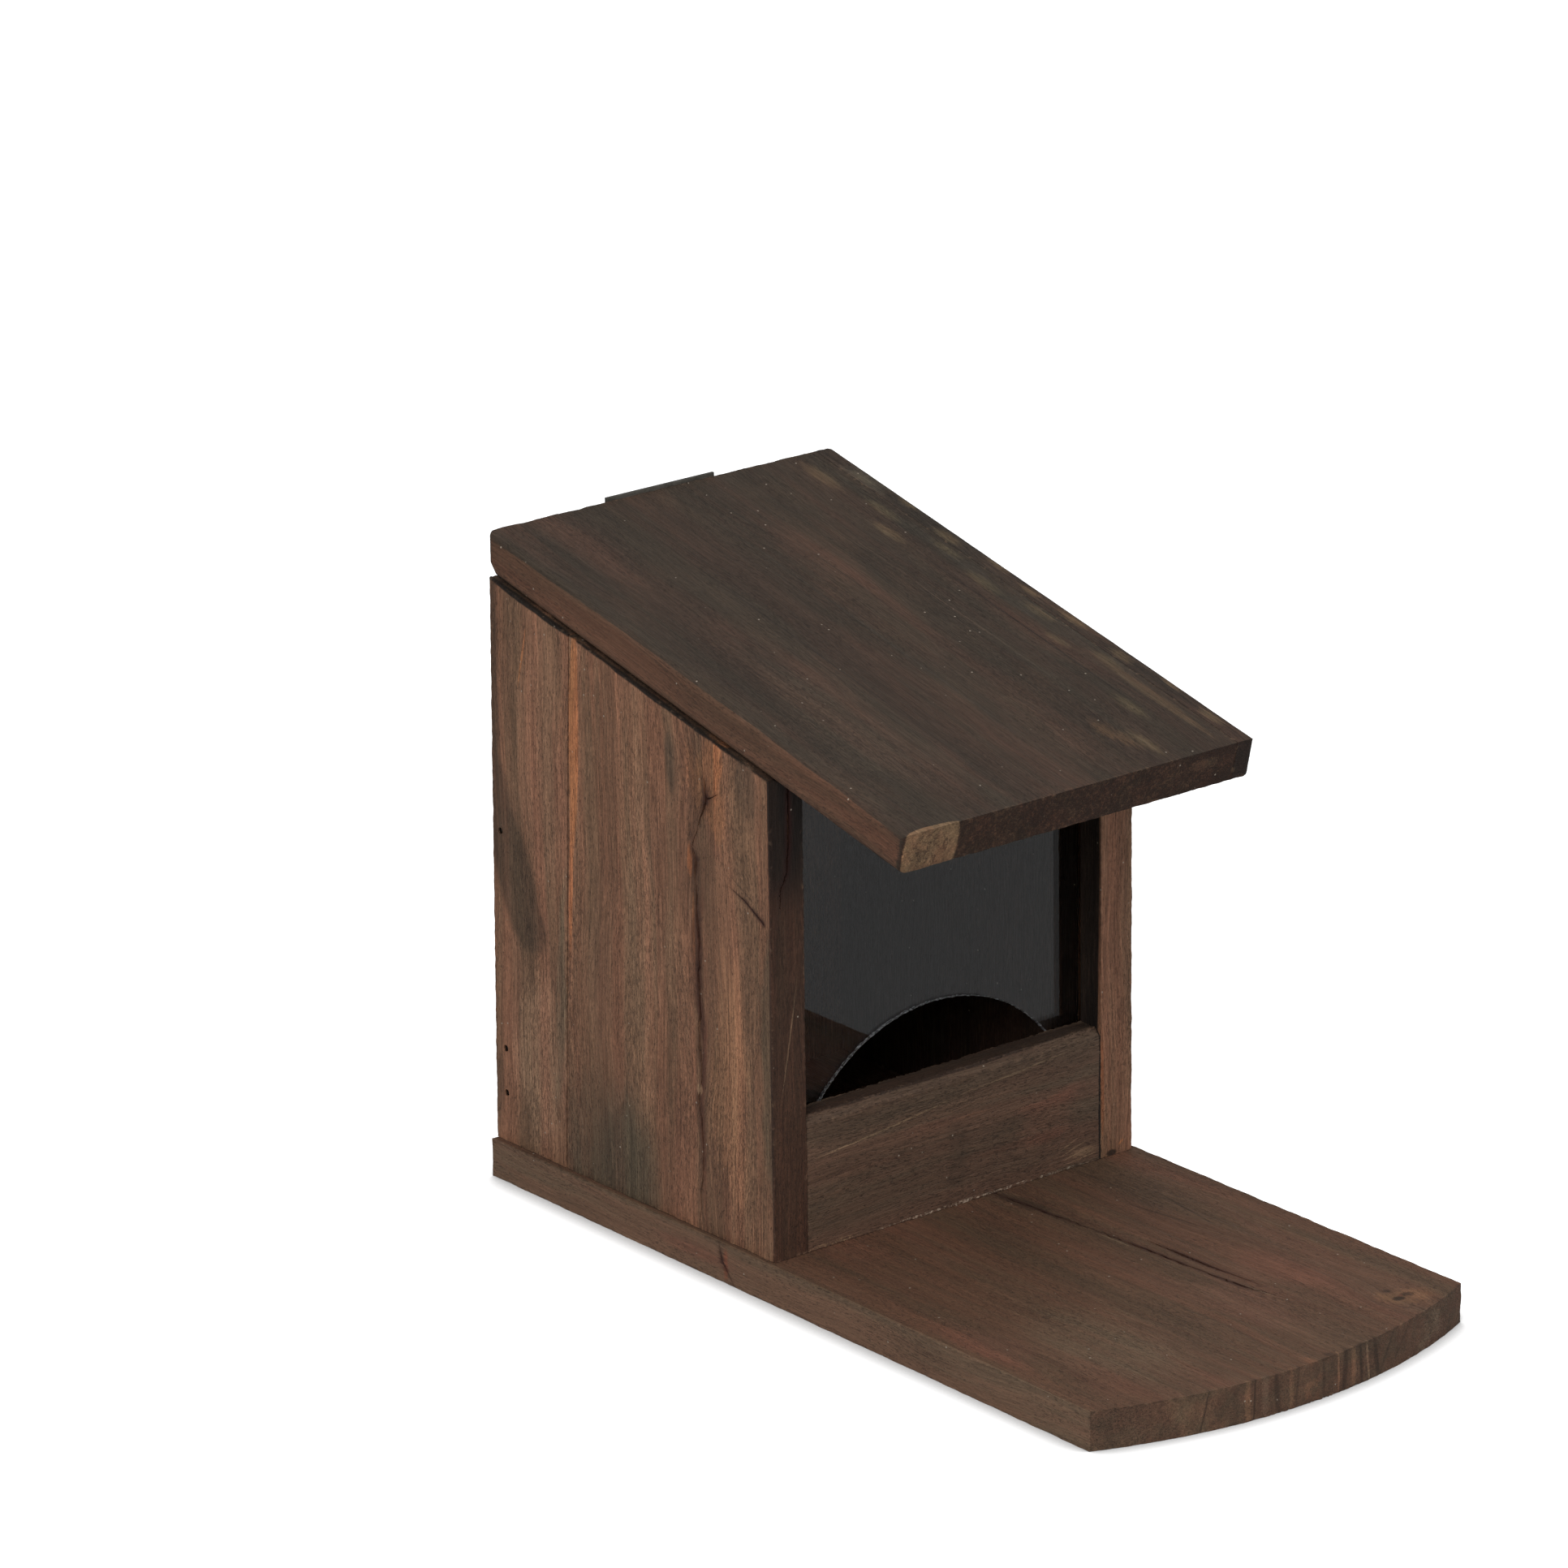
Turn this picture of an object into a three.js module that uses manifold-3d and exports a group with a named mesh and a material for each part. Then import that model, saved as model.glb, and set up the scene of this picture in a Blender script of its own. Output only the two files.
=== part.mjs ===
// Squirrel feeder: a small wooden feeding box with a hinged sloping lid, and a clear front pane
// with an arched cut-out that lifts up and out of two grooves.
// Millimetres. +X is right, -Y is the front and +Z is up.
// The origin is the centre of the base board's underside.

import * as THREE from "three";
import { mergeVertices } from "three/addons/utils/BufferGeometryUtils.js";
import Module from "manifold-3d";

const wasm = await Module();
wasm.setup();

// Base board
const baseLength = 251.3;
const baseWidth = 123.7;
const baseThickness = 10.6;
const baseBulge = 13;
const baseRearLip = 1.3;

// House: two sides, a back and a front sill
const houseSideInset = 1.85;
const houseDepth = 114.8;
const sideThickness = 10.8;
const sideRearHeight = 155.3;
const roofPitchDegrees = 13.28;
const backThickness = 8.5;
const backTopDrop = 0.5;
const sillThickness = 7.9;
const sillHeight = 36.4;
const sillEdgeRounding = 2.2;

// Left side: a narrow rear board and a wide front board, with a joint that leans a little
const rearEdgeLean = 2.8;
const jointFootInset = 28.5;
const jointTopInset = 34.3;
const glueGap = 0.3;

// Clear front pane and the grooves it slides in
const paneThickness = 2;
const paneHeadroom = 5.9;
const paneSetback = 8.3;
const paneSideClearance = 0.8;
const paneFaceClearance = 0.3;
const paneDropBehindSill = 1.4;
const grooveDepth = 4;
const archWidth = 77.1;
const archRise = 18.4;

// Lid: a wide board and a narrow strip glued to its right edge
const lidLeftInset = 0.3;
const lidRightInset = 3.7;
const lidThickness = 10.8;
const lidSlopeLength = 171;
const lidStripWidth = 6.7;
const lidSeatGap = 0.3;

// Butt hinge across the back of the lid
const hingeLength = 36;
const hingeShift = -2.5;
const leafLength = 12.2;
const leafThickness = 0.8;
const leafFoldGap = 0.3;
const knuckleCount = 4;
const knuckleRadius = 1.6;
const knuckleGap = 0.3;
const knuckleNotchGap = 0.35;
const pinRadius = 0.75;
const pinBoreClearance = 0.2;
const pinHeadRadius = 1.2;
const pinHeadThickness = 0.5;
const hingeReliefMargin = 1;

// Fasteners: shank radius, head radius, head depth, tip and overall length
const hingeScrew = { shank: 0.95, head: 1.9, headDepth: 0.8, tip: 1.6, length: 8 };
const baseScrew = { shank: 1.5, head: 2.9, headDepth: 2.2, tip: 3, length: 25 };
const brad = { shank: 0.6, head: 0.8, headDepth: 0.6, tip: 1.2, length: 21 };
const baseScrewRecess = 0.6;
const baseScrewInset = 18;
const bradRecess = 0.4;
const bradInset = 3.4;
// Heights of the brads, as shares of the side's rear height
const bradHeightShares = [0.088, 0.168, 0.556];
const pilotClearance = 0.3;

// Overrun of a cutting solid past the face that it cuts
const overrun = 2;

// Faceting
const barrelSides = 24;
const screwSides = 16;
const archSteps = 28;

// Places worked out from the sizes above
const pitch = THREE.MathUtils.degToRad(roofPitchDegrees);
const baseRear = baseLength / 2;
const houseBack = baseRear - baseRearLip;
const houseFront = houseBack - houseDepth;
const sideOuter = baseWidth / 2 - houseSideInset;
const sideInner = sideOuter - sideThickness;
const roofRearZ = baseThickness + sideRearHeight;
const paneFront = houseFront + paneSetback;
const paneBack = paneFront + paneThickness;
const sillTop = baseThickness + sillHeight;
const paneFoot = sillTop - paneDropBehindSill;
const paneTop = roofZ(paneFront) - paneHeadroom;
const paneHalfWidth = sideInner + grooveDepth - paneSideClearance;
const grooveFoot = paneFoot - paneFaceClearance;
const hingeAxisY = houseBack + leafThickness + leafFoldGap / 2;
const hingeAxisZ = roofRearZ + lidSeatGap / 2;
const hingeRelief = knuckleRadius + hingeReliefMargin;
const hingeScrewSpacing = hingeLength / 2;
const hingeScrewFromAxis = (knuckleRadius + leafLength) / 2;
const lidLeft = lidLeftInset - sideOuter;
const lidRight = sideOuter - lidRightInset;
const lidJoint = lidRight - lidStripWidth;

// Height of the sides' sloping top edge at a depth y
function roofZ(y) {
  return roofRearZ - (houseBack - y) * Math.tan(pitch);
}

// Materials
function wood(color) {
  return new THREE.MeshStandardMaterial({ color, roughness: 0.85, metalness: 0 });
}

const baseWood = wood(0x6b4a38);
const sideWood = wood(0x8a6248);
const backWood = wood(0x6e5140);
const sillWood = wood(0x80604c);
const lidWood = wood(0x4a3a2f);
const clearPane = new THREE.MeshStandardMaterial({
  color: 0xdfe4e6,
  roughness: 0.08,
  metalness: 0,
  transparent: true,
  opacity: 0.3,
});
const steel = new THREE.MeshStandardMaterial({ color: 0xb9b4a8, roughness: 0.35, metalness: 1 });

// Shapes and solids
function shapeOf(points) {
  return new THREE.Shape(points.map(([a, b]) => new THREE.Vector2(a, b)));
}

function extruded(shape, depth) {
  return new THREE.ExtrudeGeometry(shape, { depth, bevelEnabled: false, curveSegments: archSteps });
}

// A profile drawn in Y and Z, from x = low to x = high
function prismAlongX(shape, low, high) {
  const turn = new THREE.Matrix4().makeBasis(
    new THREE.Vector3(0, 1, 0),
    new THREE.Vector3(0, 0, 1),
    new THREE.Vector3(1, 0, 0),
  );
  return extruded(shape, high - low).applyMatrix4(turn).translate(low, 0, 0);
}

// A profile drawn in X and Z, from y = low to y = high
function prismAlongY(shape, low, high) {
  return extruded(shape, high - low).rotateX(Math.PI / 2).translate(0, high, 0);
}

function block(x, y, z) {
  const sizes = [x, y, z].map(([low, high]) => high - low);
  const centre = [x, y, z].map(([low, high]) => (low + high) / 2);
  return new THREE.BoxGeometry(...sizes).translate(...centre);
}

function solid(geometry) {
  const bare = geometry.clone();
  bare.deleteAttribute("normal");
  bare.deleteAttribute("uv");
  const merged = mergeVertices(bare);
  return new wasm.Manifold(
    new wasm.Mesh({
      numProp: 3,
      vertProperties: merged.attributes.position.array,
      triVerts: new Uint32Array(merged.index.array),
    }),
  );
}

function geometryOf(body) {
  const mesh = body.getMesh();
  const indexed = new THREE.BufferGeometry();
  indexed.setAttribute("position", new THREE.BufferAttribute(mesh.vertProperties, 3));
  indexed.setIndex(new THREE.BufferAttribute(mesh.triVerts, 1));
  const flat = indexed.toNonIndexed();
  flat.computeVertexNormals();
  return flat;
}

// The first geometry with all the others cut out of it
function cut(geometry, tools) {
  let body = solid(geometry);
  for (const tool of tools) body = body.subtract(solid(tool));
  return geometryOf(body);
}

function joined(geometries) {
  const [first, ...rest] = geometries.map(solid);
  return geometryOf(rest.reduce((whole, piece) => whole.add(piece), first));
}

// Fasteners stand with the head's outer face at the origin and the tip towards -Z
function fastenerGeometry(f) {
  const profile = [
    [0, -f.length],
    [f.shank, f.tip - f.length],
    [f.shank, -f.headDepth],
    [f.head, 0],
    [0, 0],
  ].map(([r, z]) => new THREE.Vector2(r, z));
  return new THREE.LatheGeometry(profile, screwSides).rotateX(Math.PI / 2);
}

// The clearance hole for a fastener, open past its head
function pilotGeometry(f) {
  const bore = f.shank + pilotClearance;
  const mouth = f.head + pilotClearance;
  const profile = [
    [0, -f.length - pilotClearance],
    [bore, -f.length - pilotClearance],
    [bore, -f.headDepth - pilotClearance],
    [mouth, -pilotClearance],
    [mouth, overrun],
    [0, overrun],
  ].map(([r, z]) => new THREE.Vector2(r, z));
  return new THREE.LatheGeometry(profile, screwSides).rotateX(Math.PI / 2);
}

// The direction that a fastener's tip points in, as the turn that takes -Z there
const intoHouseFromBelow = new THREE.Matrix4().makeRotationX(Math.PI);
const intoWoodFromBehind = new THREE.Matrix4().makeRotationX(-Math.PI / 2);
const intoWoodFromLeft = new THREE.Matrix4().makeRotationY(-Math.PI / 2);
const intoWoodFromRight = new THREE.Matrix4().makeRotationY(Math.PI / 2);

function placed(geometry, turn, place) {
  return geometry.applyMatrix4(turn).translate(...place);
}

// Every fastener: its name, kind, direction and the centre of its head's outer face
function baseScrewPlaces() {
  const sideX = sideOuter - sideThickness / 2;
  const rearY = houseBack - baseScrewInset;
  const frontY = houseFront + baseScrewInset;
  return [
    ["base_screw_left_rear", -sideX, rearY],
    ["base_screw_left_front", -sideX, frontY],
    ["base_screw_right_rear", sideX, rearY],
    ["base_screw_right_front", sideX, frontY],
    ["base_screw_back", 0, houseBack - backThickness / 2],
    ["base_screw_sill", 0, houseFront + sillThickness / 2],
  ].map(([name, x, y]) => ({
    name,
    kind: baseScrew,
    turn: intoHouseFromBelow,
    place: [x, y, baseScrewRecess],
  }));
}

function bradPlaces() {
  const levels = ["low", "middle", "high"];
  const x = sideOuter - bradRecess;
  const y = houseBack - bradInset;
  return bradHeightShares.flatMap((share, i) => [
    {
      name: `back_brad_left_${levels[i]}`,
      kind: brad,
      turn: intoWoodFromLeft,
      place: [-x, y, baseThickness + share * sideRearHeight],
    },
    {
      name: `back_brad_right_${levels[i]}`,
      kind: brad,
      turn: intoWoodFromRight,
      place: [x, y, baseThickness + share * sideRearHeight],
    },
  ]);
}

function hingeScrewPlaces() {
  const places = [];
  for (const [leaf, up] of [["lid", 1], ["back", -1]]) {
    for (const [side, across] of [["left", -1], ["right", 1]]) {
      places.push({
        name: `hinge_screw_${leaf}_${side}`,
        kind: hingeScrew,
        turn: intoWoodFromBehind,
        place: [
          hingeShift + (across * hingeScrewSpacing) / 2,
          houseBack + leafThickness,
          hingeAxisZ + up * hingeScrewFromAxis,
        ],
      });
    }
  }
  return places;
}

const baseScrews = baseScrewPlaces();
const brads = bradPlaces();
const hingeScrews = hingeScrewPlaces();

function holesFor(fasteners) {
  return fasteners.map((f) => placed(pilotGeometry(f.kind), f.turn, f.place));
}

// Base board: straight sides and rear, and a front edge that bows out in one arc
function baseBoard() {
  const half = baseWidth / 2;
  const radius = (half * half + baseBulge * baseBulge) / (2 * baseBulge);
  const reach = Math.asin(half / radius);
  const shape = new THREE.Shape();
  shape.moveTo(half, baseRear);
  shape.lineTo(-half, baseRear);
  shape.absarc(
    0,
    radius - baseLength / 2,
    radius,
    -Math.PI / 2 - reach,
    -Math.PI / 2 + reach,
    false,
  );
  return cut(extruded(shape, baseThickness), holesFor(baseScrews));
}

// The slot in a side's inner face that holds the pane's edge, open at the top
function paneGroove(innerX, outerX) {
  return block(
    [Math.min(innerX, outerX), Math.max(innerX, outerX)],
    [paneFront - paneFaceClearance, paneBack + paneFaceClearance],
    [grooveFoot, roofRearZ + overrun],
  );
}

// A side board's profile in Y and Z between two edges that may lean
function sideProfile(frontFoot, frontTop, rearFoot, rearTop) {
  return shapeOf([
    [frontFoot, baseThickness],
    [rearFoot, baseThickness],
    [rearTop, roofZ(rearTop)],
    [frontTop, roofZ(frontTop)],
  ]);
}

function leftSideRearBoard() {
  const profile = sideProfile(
    houseBack - jointFootInset,
    houseBack - jointTopInset,
    baseRear,
    baseRear - rearEdgeLean,
  );
  const board = prismAlongX(profile, -sideOuter, -sideInner);
  return cut(board, holesFor([...baseScrews, ...brads]));
}

function leftSideFrontBoard() {
  const profile = sideProfile(
    houseFront,
    houseFront,
    houseBack - jointFootInset - glueGap,
    houseBack - jointTopInset - glueGap,
  );
  const groove = paneGroove(-sideInner - grooveDepth, -sideInner + overrun);
  const board = prismAlongX(profile, -sideOuter, -sideInner);
  return cut(board, [groove, ...holesFor(baseScrews)]);
}

function rightSideBoard() {
  const profile = sideProfile(houseFront, houseFront, houseBack, houseBack);
  const groove = paneGroove(sideInner - overrun, sideInner + grooveDepth);
  const board = prismAlongX(profile, sideInner, sideOuter);
  return cut(board, [groove, ...holesFor([...baseScrews, ...brads])]);
}

// Back board: its top follows the roof a little lower, with the rear edge relieved for the hinge
function backBoard() {
  const inner = houseBack - backThickness;
  const topZ = (y) => roofZ(y) - backTopDrop;
  const profile = shapeOf([
    [inner, baseThickness],
    [houseBack, baseThickness],
    [houseBack, topZ(houseBack) - hingeRelief],
    [houseBack - hingeRelief, topZ(houseBack - hingeRelief)],
    [inner, topZ(inner)],
  ]);
  const board = prismAlongX(profile, -sideInner, sideInner);
  return cut(board, holesFor([...baseScrews, ...brads, ...hingeScrews]));
}

function frontSill() {
  const back = houseFront + sillThickness;
  const profile = shapeOf([
    [houseFront, baseThickness],
    [back, baseThickness],
    [back, sillTop],
    [houseFront + sillEdgeRounding, sillTop],
    [houseFront, sillTop - sillEdgeRounding],
  ]);
  return cut(prismAlongX(profile, -sideInner, sideInner), holesFor(baseScrews));
}

// Clear pane, with an arch cut from its foot
function windowPane() {
  const half = archWidth / 2;
  const radius = (half * half + archRise * archRise) / (2 * archRise);
  const reach = Math.asin(half / radius);
  const shape = new THREE.Shape();
  shape.moveTo(paneHalfWidth, paneFoot);
  shape.lineTo(paneHalfWidth, paneTop);
  shape.lineTo(-paneHalfWidth, paneTop);
  shape.lineTo(-paneHalfWidth, paneFoot);
  shape.absarc(
    0,
    paneFoot + archRise - radius,
    radius,
    Math.PI / 2 + reach,
    Math.PI / 2 - reach,
    true,
  );
  return prismAlongY(shape, paneFront, paneBack);
}

// The lid's slab in Y and Z: rear end upright, front end square to the slope
function lidProfile() {
  const rearLow = roofRearZ + lidSeatGap;
  const rearHigh = rearLow + lidThickness / Math.cos(pitch);
  const frontHighY = houseBack - lidSlopeLength * Math.cos(pitch);
  const frontHighZ = rearHigh - lidSlopeLength * Math.sin(pitch);
  return shapeOf([
    [houseBack, rearLow + hingeRelief],
    [houseBack, rearHigh],
    [frontHighY, frontHighZ],
    [frontHighY + lidThickness * Math.sin(pitch), frontHighZ - lidThickness * Math.cos(pitch)],
    [houseBack - hingeRelief, rearLow - hingeRelief * Math.tan(pitch)],
  ]);
}

function lidMainBoard() {
  return cut(prismAlongX(lidProfile(), lidLeft, lidJoint), holesFor(hingeScrews));
}

function lidEdgeStrip() {
  return prismAlongX(lidProfile(), lidJoint, lidRight);
}

// A cylinder about the hinge axis
function aboutHingeAxis(radius, low, high) {
  return new THREE.CylinderGeometry(radius, radius, high - low, barrelSides)
    .rotateZ(Math.PI / 2)
    .translate((low + high) / 2, hingeAxisY, hingeAxisZ);
}

// The stretch of the barrel that knuckle number i takes, grown or shrunk at both ends
function knuckleSpan(i, growth) {
  const pitchLength = hingeLength / knuckleCount;
  const start = hingeShift - hingeLength / 2 + i * pitchLength;
  return [start - growth, start + pitchLength + growth];
}

// One leaf: a plate on the wood and every second knuckle, with notches for the other leaf's
function hingeLeaf(up, firstKnuckle) {
  const left = hingeShift - hingeLength / 2;
  const tipZ = hingeAxisZ + up * leafLength;
  const plate = block(
    [left + knuckleGap / 2, left + hingeLength - knuckleGap / 2],
    [houseBack, houseBack + leafThickness],
    [Math.min(hingeAxisZ, tipZ), Math.max(hingeAxisZ, tipZ)],
  );
  const knuckles = [];
  const notches = [];
  for (let i = 0; i < knuckleCount; i += 1) {
    if (i % 2 === firstKnuckle) {
      knuckles.push(aboutHingeAxis(knuckleRadius, ...knuckleSpan(i, -knuckleGap / 2)));
    } else {
      notches.push(aboutHingeAxis(knuckleRadius + knuckleNotchGap, ...knuckleSpan(i, knuckleGap / 2)));
    }
  }
  const bore = aboutHingeAxis(pinRadius + pinBoreClearance, left - overrun, left + hingeLength + overrun);
  const body = joined([cut(plate, notches), ...knuckles]);
  return cut(body, [bore, ...holesFor(hingeScrews)]);
}

function hingePin() {
  const left = hingeShift - hingeLength / 2;
  const right = left + hingeLength;
  const shaft = aboutHingeAxis(pinRadius, left - pinHeadThickness, right + pinHeadThickness);
  const leftHead = aboutHingeAxis(pinHeadRadius, left - pinHeadThickness, left);
  const rightHead = aboutHingeAxis(pinHeadRadius, right, right + pinHeadThickness);
  return joined([shaft, leftHead, rightHead]);
}

function piece(name, geometry, material) {
  const mesh = new THREE.Mesh(geometry, material);
  mesh.name = name;
  return mesh;
}

function fastenerPieces(fasteners) {
  return fasteners.map((f) =>
    piece(f.name, placed(fastenerGeometry(f.kind), f.turn, f.place), steel),
  );
}

const house = new THREE.Group();
house.add(
  piece("base_board", baseBoard(), baseWood),
  piece("left_side_rear_board", leftSideRearBoard(), sideWood),
  piece("left_side_front_board", leftSideFrontBoard(), sideWood),
  piece("right_side_board", rightSideBoard(), sideWood),
  piece("back_board", backBoard(), backWood),
  piece("front_sill", frontSill(), sillWood),
  piece("hinge_back_leaf", hingeLeaf(-1, 1), steel),
  piece("hinge_pin", hingePin(), steel),
  ...fastenerPieces(baseScrews),
  ...fastenerPieces(brads),
  ...fastenerPieces(hingeScrews.slice(2)),
);

const lid = new THREE.Group();
lid.add(
  piece("lid_main_board", lidMainBoard(), lidWood),
  piece("lid_edge_strip", lidEdgeStrip(), lidWood),
  piece("hinge_lid_leaf", hingeLeaf(1, 0), steel),
  ...fastenerPieces(hingeScrews.slice(0, 2)),
);

const feeder = new THREE.Group();
feeder.add(house, lid, piece("window_pane", windowPane(), clearPane));

export default feeder;
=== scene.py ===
"""Squirrel feeder in dark stained timber: the finish of every piece, laid out as a Blender add-on."""

import math
from collections import namedtuple
from functools import partial

import bpy
import numpy as np
from mathutils import Euler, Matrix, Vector


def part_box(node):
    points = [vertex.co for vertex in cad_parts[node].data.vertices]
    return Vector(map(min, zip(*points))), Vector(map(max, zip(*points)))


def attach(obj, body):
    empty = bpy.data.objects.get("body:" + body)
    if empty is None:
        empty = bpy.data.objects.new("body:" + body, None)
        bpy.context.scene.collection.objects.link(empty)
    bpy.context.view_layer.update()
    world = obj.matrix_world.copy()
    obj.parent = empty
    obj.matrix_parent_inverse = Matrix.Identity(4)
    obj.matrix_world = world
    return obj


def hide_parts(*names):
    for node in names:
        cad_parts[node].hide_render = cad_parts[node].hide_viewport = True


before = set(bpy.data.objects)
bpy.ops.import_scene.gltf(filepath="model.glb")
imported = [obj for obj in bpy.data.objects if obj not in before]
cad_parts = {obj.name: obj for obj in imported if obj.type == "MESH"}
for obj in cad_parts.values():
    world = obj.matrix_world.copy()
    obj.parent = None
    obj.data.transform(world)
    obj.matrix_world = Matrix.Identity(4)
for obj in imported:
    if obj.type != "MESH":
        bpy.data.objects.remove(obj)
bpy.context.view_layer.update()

bl_info = {
    "name": "Squirrel feeder",
    "version": (1, 0, 0),
    "blender": (4, 5, 0),
    "location": "3D View > Sidebar > Feeder",
    "description": "Models and finishes the timber, pane, hinge and fasteners of a squirrel feeder",
    "category": "Object",
}

MM = 0.001
MERGE_DISTANCE = 0.0001 * MM
UP = Vector((0, 0, 1))
LEFT = Vector((-1, 0, 0))
RIGHT = Vector((1, 0, 0))
FRONT = Vector((0, -1, 0))
REAR = Vector((0, 1, 0))


# Sizes and colours that a user would change


class FeederTimber(bpy.types.PropertyGroup):
    sawn_count: bpy.props.IntProperty(
        name="Faces while sawn", description="About how many faces a board is worked with", default=220000)
    triangle_count: bpy.props.IntProperty(
        name="Triangles at the end", description="How many triangles a finished board keeps at most",
        default=150000)
    finest: bpy.props.FloatProperty(
        name="Finest face", description="Smallest face edge on a board", default=0.42 * MM, unit="LENGTH")
    wave_depth: bpy.props.FloatProperty(
        name="Wave depth", description="How far the sawn faces dip", default=0.09 * MM, unit="LENGTH")
    ridge_depth: bpy.props.FloatProperty(
        name="Ridge depth", description="How deep the grain stands in relief", default=0.09 * MM,
        unit="LENGTH")
    wear_width: bpy.props.FloatProperty(
        name="Wear width", description="How far the worn strip reaches from an edge", default=1.1 * MM,
        unit="LENGTH")
    corner_radius: bpy.props.FloatProperty(
        name="Corner radius", description="Radius of the lid's rounded corners", default=2.6 * MM,
        unit="LENGTH")
    wear_depth: bpy.props.FloatProperty(
        name="Wear depth", description="How deep the edges are worn", default=0.10 * MM, unit="LENGTH")
    nick_depth: bpy.props.FloatProperty(
        name="Nick depth", description="How deep the few nicks in the edges are", default=0.09 * MM,
        unit="LENGTH")
    chip_depth: bpy.props.FloatProperty(
        name="Chip depth", description="How deep a ragged edge is chipped", default=0.35 * MM, unit="LENGTH")
    side_tone: bpy.props.FloatVectorProperty(
        name="Side stain", description="Mean colour of the side boards", default=(0.49, 0.357, 0.277),
        subtype="COLOR_GAMMA", min=0, max=1)
    base_tone: bpy.props.FloatVectorProperty(
        name="Base stain", description="Mean colour of the base board", default=(0.355, 0.26, 0.20),
        subtype="COLOR_GAMMA", min=0, max=1)
    lid_tone: bpy.props.FloatVectorProperty(
        name="Lid stain", description="Mean colour of the lid", default=(0.215, 0.17, 0.135),
        subtype="COLOR_GAMMA", min=0, max=1)
    strip_tone: bpy.props.FloatVectorProperty(
        name="Lid strip stain", description="Mean colour of the strip on the lid",
        default=(0.18, 0.147, 0.118), subtype="COLOR_GAMMA", min=0, max=1)
    sill_tone: bpy.props.FloatVectorProperty(
        name="Sill stain", description="Mean colour of the front sill", default=(0.345, 0.268, 0.218),
        subtype="COLOR_GAMMA", min=0, max=1)
    back_tone: bpy.props.FloatVectorProperty(
        name="Back stain", description="Mean colour of the back board", default=(0.40, 0.31, 0.25),
        subtype="COLOR_GAMMA", min=0, max=1)
    crack_strength: bpy.props.FloatProperty(
        name="Crack stain", description="How much the cracks darken the stain", default=0.92, min=0, max=1)
    pore_strength: bpy.props.FloatProperty(
        name="Pores", description="How much the pores darken the stain", default=0.30, min=0, max=1)
    dust_strength: bpy.props.FloatProperty(
        name="Dust", description="How pale the specks of dust are", default=0.7, min=0, max=1)
    grime_strength: bpy.props.FloatProperty(
        name="Edge grime", description="How much grime darkens the edges", default=0.45, min=0, max=1)
    rub_strength: bpy.props.FloatProperty(
        name="Edge rub", description="How much rubbing brightens the edges", default=0.22, min=0, max=1)
    grain_relief: bpy.props.FloatProperty(
        name="Grain relief", description="Height of the fine grain in the finish", default=0.4 * MM,
        unit="LENGTH")


class FeederPane(bpy.types.PropertyGroup):
    edge_step: bpy.props.FloatProperty(
        name="Edge step", description="Length of one facet of the sawn edge", default=0.7 * MM,
        unit="LENGTH")
    edge_depth: bpy.props.FloatProperty(
        name="Edge depth", description="How far the sawn edge wanders", default=0.5 * MM, unit="LENGTH")
    frost_tone: bpy.props.FloatVectorProperty(
        name="Frost", description="Colour of the sawn edge", default=(0.86, 0.87, 0.88),
        subtype="COLOR_GAMMA", min=0, max=1)


class FeederMetal(bpy.types.PropertyGroup):
    edge_bevel: bpy.props.FloatProperty(
        name="Edge bevel", description="Width of the broken edges", default=0.08 * MM, unit="LENGTH")
    leaf_tone: bpy.props.FloatVectorProperty(
        name="Hinge steel", description="Colour of the hinge", default=(0.40, 0.385, 0.36),
        subtype="COLOR_GAMMA", min=0, max=1)
    screw_tone: bpy.props.FloatVectorProperty(
        name="Screw steel", description="Colour of the screws", default=(0.70, 0.69, 0.66),
        subtype="COLOR_GAMMA", min=0, max=1)
    brad_tone: bpy.props.FloatVectorProperty(
        name="Brad steel", description="Colour of the brads", default=(0.20, 0.18, 0.165),
        subtype="COLOR_GAMMA", min=0, max=1)


class FeederStage(bpy.types.PropertyGroup):
    azimuth: bpy.props.FloatProperty(
        name="Azimuth", description="Camera's turn from the front", default=math.radians(-38.85),
        subtype="ANGLE")
    elevation: bpy.props.FloatProperty(
        name="Elevation", description="Camera's height angle", default=math.radians(18.873), subtype="ANGLE")
    roll: bpy.props.FloatProperty(
        name="Roll", description="Camera's turn about its own axis", default=math.radians(-0.773),
        subtype="ANGLE")
    distance: bpy.props.FloatProperty(
        name="Distance", description="From the camera to the point it aims at", default=1.99126,
        unit="LENGTH")
    aim: bpy.props.FloatVectorProperty(
        name="Aim", description="The point the camera aims at", default=(-0.02978, 0.04092, 0.12356),
        subtype="XYZ", unit="LENGTH")
    lens: bpy.props.FloatProperty(
        name="Lens", description="Focal length on a 36 mm sensor, in millimetres", default=180.815)
    floor_size: bpy.props.FloatProperty(
        name="Floor", description="Width of the floor", default=12.0, unit="LENGTH")
    room_level: bpy.props.FloatProperty(
        name="Room light", description="Strength of the light from all round", default=0.30)
    lamp_size: bpy.props.FloatProperty(
        name="Lamp size", description="Width of each soft lamp", default=1.6, unit="LENGTH")
    key_power: bpy.props.FloatProperty(
        name="Key lamp", description="Power of the lamp at the front left, in watts", default=34)
    fill_power: bpy.props.FloatProperty(
        name="Fill lamp", description="Power of the lamp at the front right, in watts", default=12)
    top_power: bpy.props.FloatProperty(
        name="Top lamp", description="Power of the lamp overhead, in watts", default=14)


# Modelling tools


def pick(*pieces):
    """Leaves only these objects selected, with the first one active."""
    bpy.ops.object.select_all(action="DESELECT")
    for piece in pieces:
        piece.select_set(True)
    bpy.context.view_layer.objects.active = pieces[0]


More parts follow.
